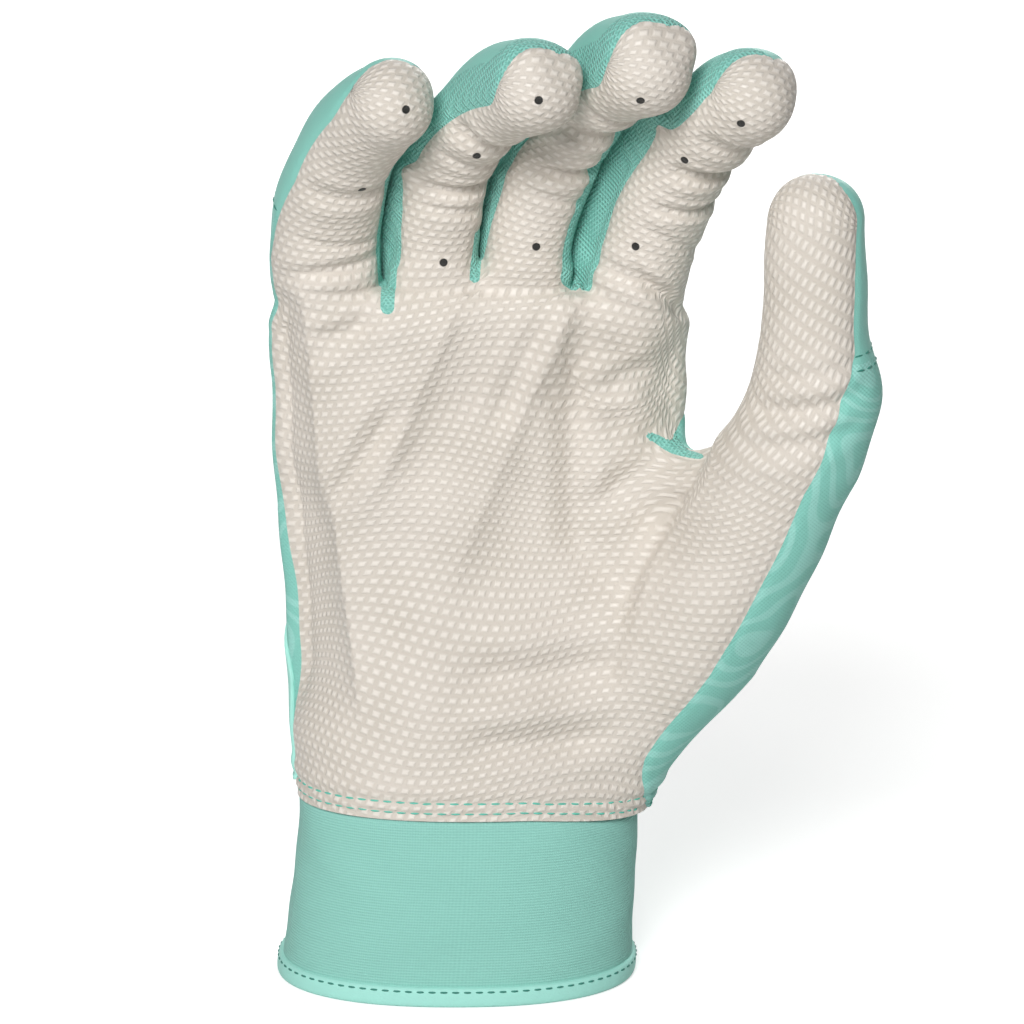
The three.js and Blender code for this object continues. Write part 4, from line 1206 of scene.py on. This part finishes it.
# %% Hem binding
def carried(name, place, along, profile, finish):
    """A closed profile of (depth, height) pairs carried along the wrist, with a lid on each end."""
    depth, height = profile.T
    run, depth = np.meshgrid(along, depth, indexing="ij")
    height = np.broadcast_to(height, run.shape)
    points = place(run, height, depth)
    number = np.arange(run.size).reshape(run.shape)
    beside = np.roll(number, -1, axis=1)
    faces = np.stack([number[:-1], beside[:-1], beside[1:], number[1:]], -1).reshape(-1, 4)
    lids = [number[0].tolist(), number[-1][::-1].tolist()]
    points, flat = points.reshape(-1, 3), np.stack([run, 0 * run, height], -1).reshape(-1, 3)
    if outwards_share(points, faces) < 0:
        faces, lids = faces[:, ::-1], [lid[::-1] for lid in lids]
    return mesh_object(name, points, faces.tolist() + lids, None, finish, flat)


HEM_DEPTH, HEM_HALF = 0.75, 1.45
turn = np.linspace(0, 2 * np.pi, 36, endpoint=False)
loop = np.column_stack([
    HEM_DEPTH - HEM_HALF * bent(np.cos(turn), 0.55), HEM / 2 + HEM / 2 * bent(np.sin(turn), 0.6),
])
hem = carried("hem_binding", band_place, np.linspace(0, BAND_LENGTH, 260), loop, BINDING_FINISH)
join(hem, ("hem_binding",), "hand")
print("hem binding", len(hem.data.polygons), "faces")

# %% [markdown]
# ### Closure
# The back of the glove isn't in view, so its closure is the usual one: a strap sewn to an anchor patch, which
# crosses the slit and is held down by hook tape on loop tape, with a tab to pull.

# %% Strap and tapes
STRAP_RISE = STRAP_LOW, STRAP_HIGH = 9.0, 36.0
STRAP_MIDDLE = (STRAP_LOW + STRAP_HIGH) / 2
STRAP_ROOT, STRAP_TIP, TIP_CORNER = 17.0, -27.0, 6.0
TAPE, LAYER_GAP = 0.8, 0.3
STRAP_UNDER = 3 * LAYER_GAP + 2 * TAPE
STRAP_THICKNESS = 1.5
STRAP_TOP = STRAP_UNDER + STRAP_THICKNESS
TAPE_BORDER, TAPE_START = 2.5, -7.0
ROOT_TUCK, ROOT_BEND = 0.8, 6.0
ANCHOR_SPAN = (STRAP_ROOT + LAYER_GAP, STRAP_ROOT + 13)
TAB_LENGTH, TAB_INSET, TAB_TUCK = 6.0, 3.0, 1.5


def strap_place(x, z, depth):
    """The strap narrows a little towards its tip and its tip's corners are round."""
    toward_tip = np.clip((STRAP_ROOT - x) / (STRAP_ROOT - STRAP_TIP), 0, 1)
    into_corner = np.clip((STRAP_TIP + TIP_CORNER - x) / TIP_CORNER, 0, 1)
    narrow = (1 - 0.08 * toward_tip ** 2, np.sqrt(np.clip(1 - into_corner ** 2 * 0.35, 0, 1)))
    return on_back(x, STRAP_MIDDLE + (z - STRAP_MIDDLE) * narrow[0] * narrow[1], depth)


strap = patch(
    "strap", strap_place, (STRAP_TIP, STRAP_ROOT + ROOT_TUCK), STRAP_RISE, -STRAP_UNDER, STRAP_THICKNESS, 0.9,
    STRAP_FINISH,
)
root_x = np.array([STRAP_ROOT, STRAP_ROOT - ROOT_BEND])
root_line = on_back(root_x, np.full(2, STRAP_MIDDLE), np.full(2, -STRAP_UNDER))
strap_bending = "hand", "strap", *map(to_row, root_line)
join(strap, ("strap",), bend=strap_bending)

anchor = patch(
    "strap_anchor", on_back, ANCHOR_SPAN, STRAP_RISE, -LAYER_GAP / 2, STRAP_TOP - LAYER_GAP, 1.2,
    STRAP_FINISH,
)
join(anchor, ("strap_anchor",), "hand")

tape_rise = (STRAP_LOW + TAPE_BORDER, STRAP_HIGH - TAPE_BORDER)
tape_span = (STRAP_TIP + TAPE_BORDER, TAPE_START)
loop_tape = patch("loop_tape", strap_place, tape_span, tape_rise, -LAYER_GAP / 2, TAPE, 0.3, LOOP_FINISH)
join(loop_tape, ("loop_tape",), "hand")
hook_depth = -(2 * LAYER_GAP + TAPE)
hook_tape = patch("hook_tape", strap_place, tape_span, tape_rise, hook_depth, TAPE, 0.3, HOOK_FINISH)
join(hook_tape, ("hook_tape",), "strap")


def tab_place(x, z, depth):
    """A tab past the strap's tip, sewn between its two layers and rounded like half a superellipse."""
    out = np.clip((STRAP_TIP - x) / TAB_LENGTH, 0, 1)
    return on_back(x, STRAP_MIDDLE + (z - STRAP_MIDDLE) * (1 - 0.6 * out ** 2.5), depth)


tab = patch(
    "strap_pull_tab", tab_place, (STRAP_TIP - TAB_LENGTH, STRAP_TIP + TAB_TUCK),
    (STRAP_LOW + TAB_INSET, STRAP_HIGH - TAB_INSET), -STRAP_UNDER - 0.2, STRAP_THICKNESS - 0.4, 0.5,
    BINDING_FINISH,
)
join(tab, ("strap_pull_tab",), "strap")
print("closure:", strap.name, anchor.name, loop_tape.name, hook_tape.name, tab.name)


# %% [markdown]
# ### Heel patch
# A paler patch with a round top is sewn to the back at the little-finger side. It is laid on the finished
# skin: each point of its grid is moved onto the plane of the nearest point of the skin.

# %% Heel patch
def snap(wanted):
    """The place on the skin nearest to each wanted point, and the skin's normal there."""
    near = np.all((points > wanted.min(0) - 4) & (points < wanted.max(0) + 4), axis=1)
    skin_points, skin_normals = points[near], normals[near]
    nearest = np.concatenate([
        np.argmin((skin_points ** 2).sum(1) - 2 * some @ skin_points.T, axis=1)
        for some in np.array_split(wanted, len(wanted) // 500 + 1)
    ])
    normal = skin_normals[nearest]
    above = ((wanted - skin_points[nearest]) * normal).sum(1)[:, None]
    return wanted - above * normal, normal


HEEL_LOW, HEEL_HIGH = 44.5, 80.0
HEEL_NEAR, HEEL_FAR = math.radians(-88), math.radians(-130)
HEEL_HALF, HEEL_ROUND = 11.0, 16.0


def heel_place(run, z, depth):
    up = np.clip((z - HEEL_HIGH + HEEL_ROUND) / HEEL_ROUND, 0, 1)
    middle, half = (HEEL_NEAR + HEEL_FAR) / 2, (HEEL_NEAR - HEEL_FAR) / 2
    angle = middle + half * run / HEEL_HALF * np.sqrt(1 - 0.92 * up ** 2)
    place, normal = snap(on_hand(z, angle, 0).reshape(-1, 3))
    return (place - normal * depth.reshape(-1, 1)).reshape(run.shape + (3,))


heel = patch(
    "heel_patch", heel_place, (-HEEL_HALF, HEEL_HALF), (HEEL_LOW, HEEL_HIGH), 0.15, 0.9, 0.5, BINDING_FINISH,
)
join(heel, ("heel_patch",), "hand")
print("heel patch", len(heel.data.polygons), "faces")

# %% [markdown]
# ## Stitches
# A stitch is a short thread that rises out of the cloth and goes back in: a small closed tube along a low
# arch. All the stitches of a row are worked out together, at even steps along a line that lies on the skin.

# %% Stitches
RINGS = np.array([0.02, 0.2, 0.5, 0.8, 0.98])
SIDES = np.linspace(0, 2 * np.pi, 6, endpoint=False)
SUNK, INSET = 0.08, 2.2


def stitch_row(line, normal, length=2.3, gap=0.7, radius=0.26, rise=0.16):
    """Points and faces of a row: each stitch is a chord of the line, lifted along the normal by half a sine
    wave, with a six-sided ring about it at five places and a point at each end."""
    step = np.linalg.norm(np.diff(line, axis=0), axis=1)
    run = np.concatenate([[0], np.cumsum(step)])
    count = max(int(run[-1] / (length + gap)), 1)
    start = np.linspace(0, run[-1], count, endpoint=False) + gap / 2
    sample = lambda table, s: np.column_stack([np.interp(s, run, table[:, k]) for k in range(3)])
    a, b = sample(line, start), sample(line, start + length)
    up = unit(sample(normal, start + length / 2))
    way = unit(b - a)
    side = np.cross(way, up)
    arch = (rise * np.sin(np.pi * RINGS) - SUNK)[:, None]
    centre = a[:, None] + (b - a)[:, None] * RINGS[:, None] + up[:, None] * arch
    thick = radius * np.sin(np.pi * RINGS) ** 0.35
    ring = np.cos(SIDES)[:, None] * side[:, None, None] + np.sin(SIDES)[:, None] * up[:, None, None]
    tube = centre[:, :, None] + thick[None, :, None, None] * ring
    ends = np.stack([a - SUNK * up, b - SUNK * up], 1)
    points = np.concatenate([tube.reshape(count, -1, 3), ends], 1)
    number = np.arange(len(RINGS) * len(SIDES)).reshape(len(RINGS), len(SIDES))
    beside = np.roll(number, -1, 1)
    quads = np.stack([number[:-1], number[1:], beside[1:], beside[:-1]], -1).reshape(-1, 4)
    first = np.stack([number[0], beside[0], 0 * number[0] + number.size], -1)
    last = np.stack([beside[-1], number[-1], 0 * number[0] + number.size + 1], -1)
    shift = (np.arange(count) * (number.size + 2))[:, None, None]
    if outwards_share(points[0], quads) < 0:
        quads, first, last = quads[:, ::-1], first[:, ::-1], last[:, ::-1]
    lids = np.concatenate([first, last])
    faces = (quads + shift).reshape(-1, 4).tolist() + (lids + shift).reshape(-1, 3).tolist()
    return points.reshape(-1, 3), faces


def thread(name, lines, finish, body=None, bend=None, **look):
    """A piece of thread made of several rows, riding on a body, or with its place baked into its points where
    a bend is given.
    """
    every, faces = [], []
    for line, normal in lines:
        here, new = stitch_row(line, normal, **look)
        base = sum(map(len, every))
        faces += [[base + n for n in face] for face in new]
        every.append(here)
    join(mesh_object(name, np.concatenate(every), faces, None, finish), (), body, bend)
    print(name, len(faces), "faces")


def hem_row(above):
    """A line above the leather's lower edge, round the palm from one side seam to the other."""
    angle = np.linspace(math.radians(-92), math.radians(92), 400)
    level = np.full(angle.shape, CUFF_TOP)
    for _ in range(3):
        level = hem_line(on_hand(level, angle, 0)[:, 0]) + above
    return snap(on_hand(level, angle, 0))


def digit_row(d, s, low, high):
    """A line across a digit at one place along it, between two angles."""
    angle = np.radians(np.linspace(low, high, 60))
    return snap(on_digit(d, np.full(60, float(s)), angle))


def flat_row(place, u, v, depth):
    """A line on a flat piece, by its places along and up, and the way out of the cloth."""
    line, outer = place(u, v, depth + 0 * u), place(u, v, depth - 1 + 0 * u)
    return line, unit(outer - line)


def patch_row(place, span, rise, depth):
    """A line round a patch, inside its border."""
    left, bottom, right, top = span[0] + INSET, rise[0] + INSET, span[1] - INSET, rise[1] - INSET
    t = np.linspace(0, 1, 60)
    u = np.concatenate([left + (right - left) * t, 0 * t + right, right + (left - right) * t, 0 * t + left])
    v = np.concatenate([0 * t + bottom, bottom + (top - bottom) * t, 0 * t + top, top + (bottom - top) * t])
    return flat_row(place, u, v, depth)


thread("palm_hem_stitches", [hem_row(above) for above in HEM_ROWS], MINT_THREAD, "hand")
tack_angle = np.radians(np.linspace(80, 86, 8))
tack = [snap(on_hand(np.full(8, CUFF_TOP - HEM_DROP + up), tack_angle, 0)) for up in np.linspace(0.4, 5.0, 9)]
thread("hem_tack", tack, MINT_THREAD, "hand", length=3.2, gap=0.2, radius=0.34, rise=0.4)
run = np.linspace(1, BAND_LENGTH - 1, 500)
hem_stitches = flat_row(band_place, run, np.full(500, HEM - 0.9), -0.55)
thread("hem_stitches", [hem_stitches], DARK_THREAD, "hand", length=1.9)
double_row = [digit_row(THUMB, THUMB_SEAM + off, 58, 278) for off in (-1.4, 1.4)]
thread("thumb_stitches", double_row, DARK_THREAD, bend=bending(THUMB, "upper"))
for d in FINGERS:
    cross = (stretch_ends(d, "base")[1] + stretch_ends(d, "upper")[0]) / 2
    s = float(place_on(d, cross[None])[0][0]) + 1.0
    low, high = (
        float(np.interp(s, *np.array(side, float).T)) + math.degrees(KNIT_ANGLE) * (way in d.knit) + 4
        for side, way in ((d.right, 1), (d.left, -1))
    )
    thread(d.name + "_stitches", [digit_row(d, s, low, 360 - high)], DARK_THREAD, d.name + "_lower")
strap_line = patch_row(strap_place, (STRAP_TIP, STRAP_ROOT), STRAP_RISE, -STRAP_TOP)
thread("strap_stitches", [strap_line], MINT_THREAD, bend=strap_bending)
anchor_line = patch_row(on_back, ANCHOR_SPAN, STRAP_RISE, -STRAP_TOP)
thread("anchor_stitches", [anchor_line], MINT_THREAD, "hand")

# %% [markdown]
# ## Studio
# A pale floor that sweeps up behind, one wide soft lamp from above the camera, a weaker one for the back and
# an even surround. The floor glows only in sight of the camera and of glossy surfaces, so it looks near white
# and still takes the glove's shadow. The camera has a long lens and looks a little down on the glove.

# %% Floor, light and camera
WALL, SWEEP = 2.0, 0.8
FLOOR_GLOW = 0.55
LIGHT_PATHS = ("Is Camera Ray", "Is Glossy Ray", "Is Transmission Ray")


def sweep():
    """A floor that turns up into a wall: a line, a quarter circle and a line, carried across."""
    turn = np.linspace(0, np.pi / 2, 16)
    y = np.concatenate([[-3.0], WALL - SWEEP + SWEEP * np.sin(turn), [WALL]])
    z = np.concatenate([[0.0], SWEEP - SWEEP * np.cos(turn), [4.0]])
    mesh = bpy.data.meshes.new("floor")
    points = np.concatenate([np.column_stack([0 * y + x, y, z]) for x in (-4.0, 4.0)])
    n = len(y)
    i = np.arange(n - 1)
    mesh.from_pydata(points, [], np.stack([i, i + n, i + n + 1, i + 1], 1).tolist())
    mesh.polygons.foreach_set("use_smooth", np.ones(n - 1, bool))
    made = bpy.data.objects.new("floor", mesh)
    bpy.context.scene.collection.objects.link(made)
    return made


floor = sweep()
floor_finish = Finish("pale_floor", srgb(218, 218, 217), 0.9)
floor_finish.set("Emission Strength", 1.0)
seen = [floor_finish.start.node("ShaderNodeLightPath", {}, output) for output in LIGHT_PATHS]
floor_finish.set("Emission Color", sum(seen[1:], seen[0]) * FLOOR_GLOW)
floor.data.materials.append(floor_finish.material)


def lamp(name, place, aim, size, power):
    data = bpy.data.lights.new(name, "AREA")
    data.shape, data.size, data.energy = "DISK", size, power
    made = bpy.data.objects.new(name, data)
    made.location = place
    made.rotation_euler = (Vector(aim) - Vector(place)).to_track_quat("-Z", "Y").to_euler()
    bpy.context.scene.collection.objects.link(made)


lamp("key", (-0.4, -1.65, 1.1), (0, 0, 0.12), 0.8, 36)
lamp("back", (0.4, 1.5, 1.1), (0, 0, 0.1), 1.2, 18)
world = bpy.data.worlds.new("surround")
world.use_nodes = True
world.node_tree.nodes["Background"].inputs["Color"].default_value = (1, 1, 1, 1)
world.node_tree.nodes["Background"].inputs["Strength"].default_value = 0.06
bpy.context.scene.world = world

camera = bpy.data.objects.new("camera", bpy.data.cameras.new("camera"))
camera.location = (-0.0114, -0.8614, 0.3231)
camera.rotation_euler = (math.radians(76), 0, 0)
camera.data.lens, camera.data.sensor_width = 143, 36
bpy.context.scene.collection.objects.link(camera)
bpy.context.scene.camera = camera
bpy.context.scene.view_settings.view_transform = "Standard"
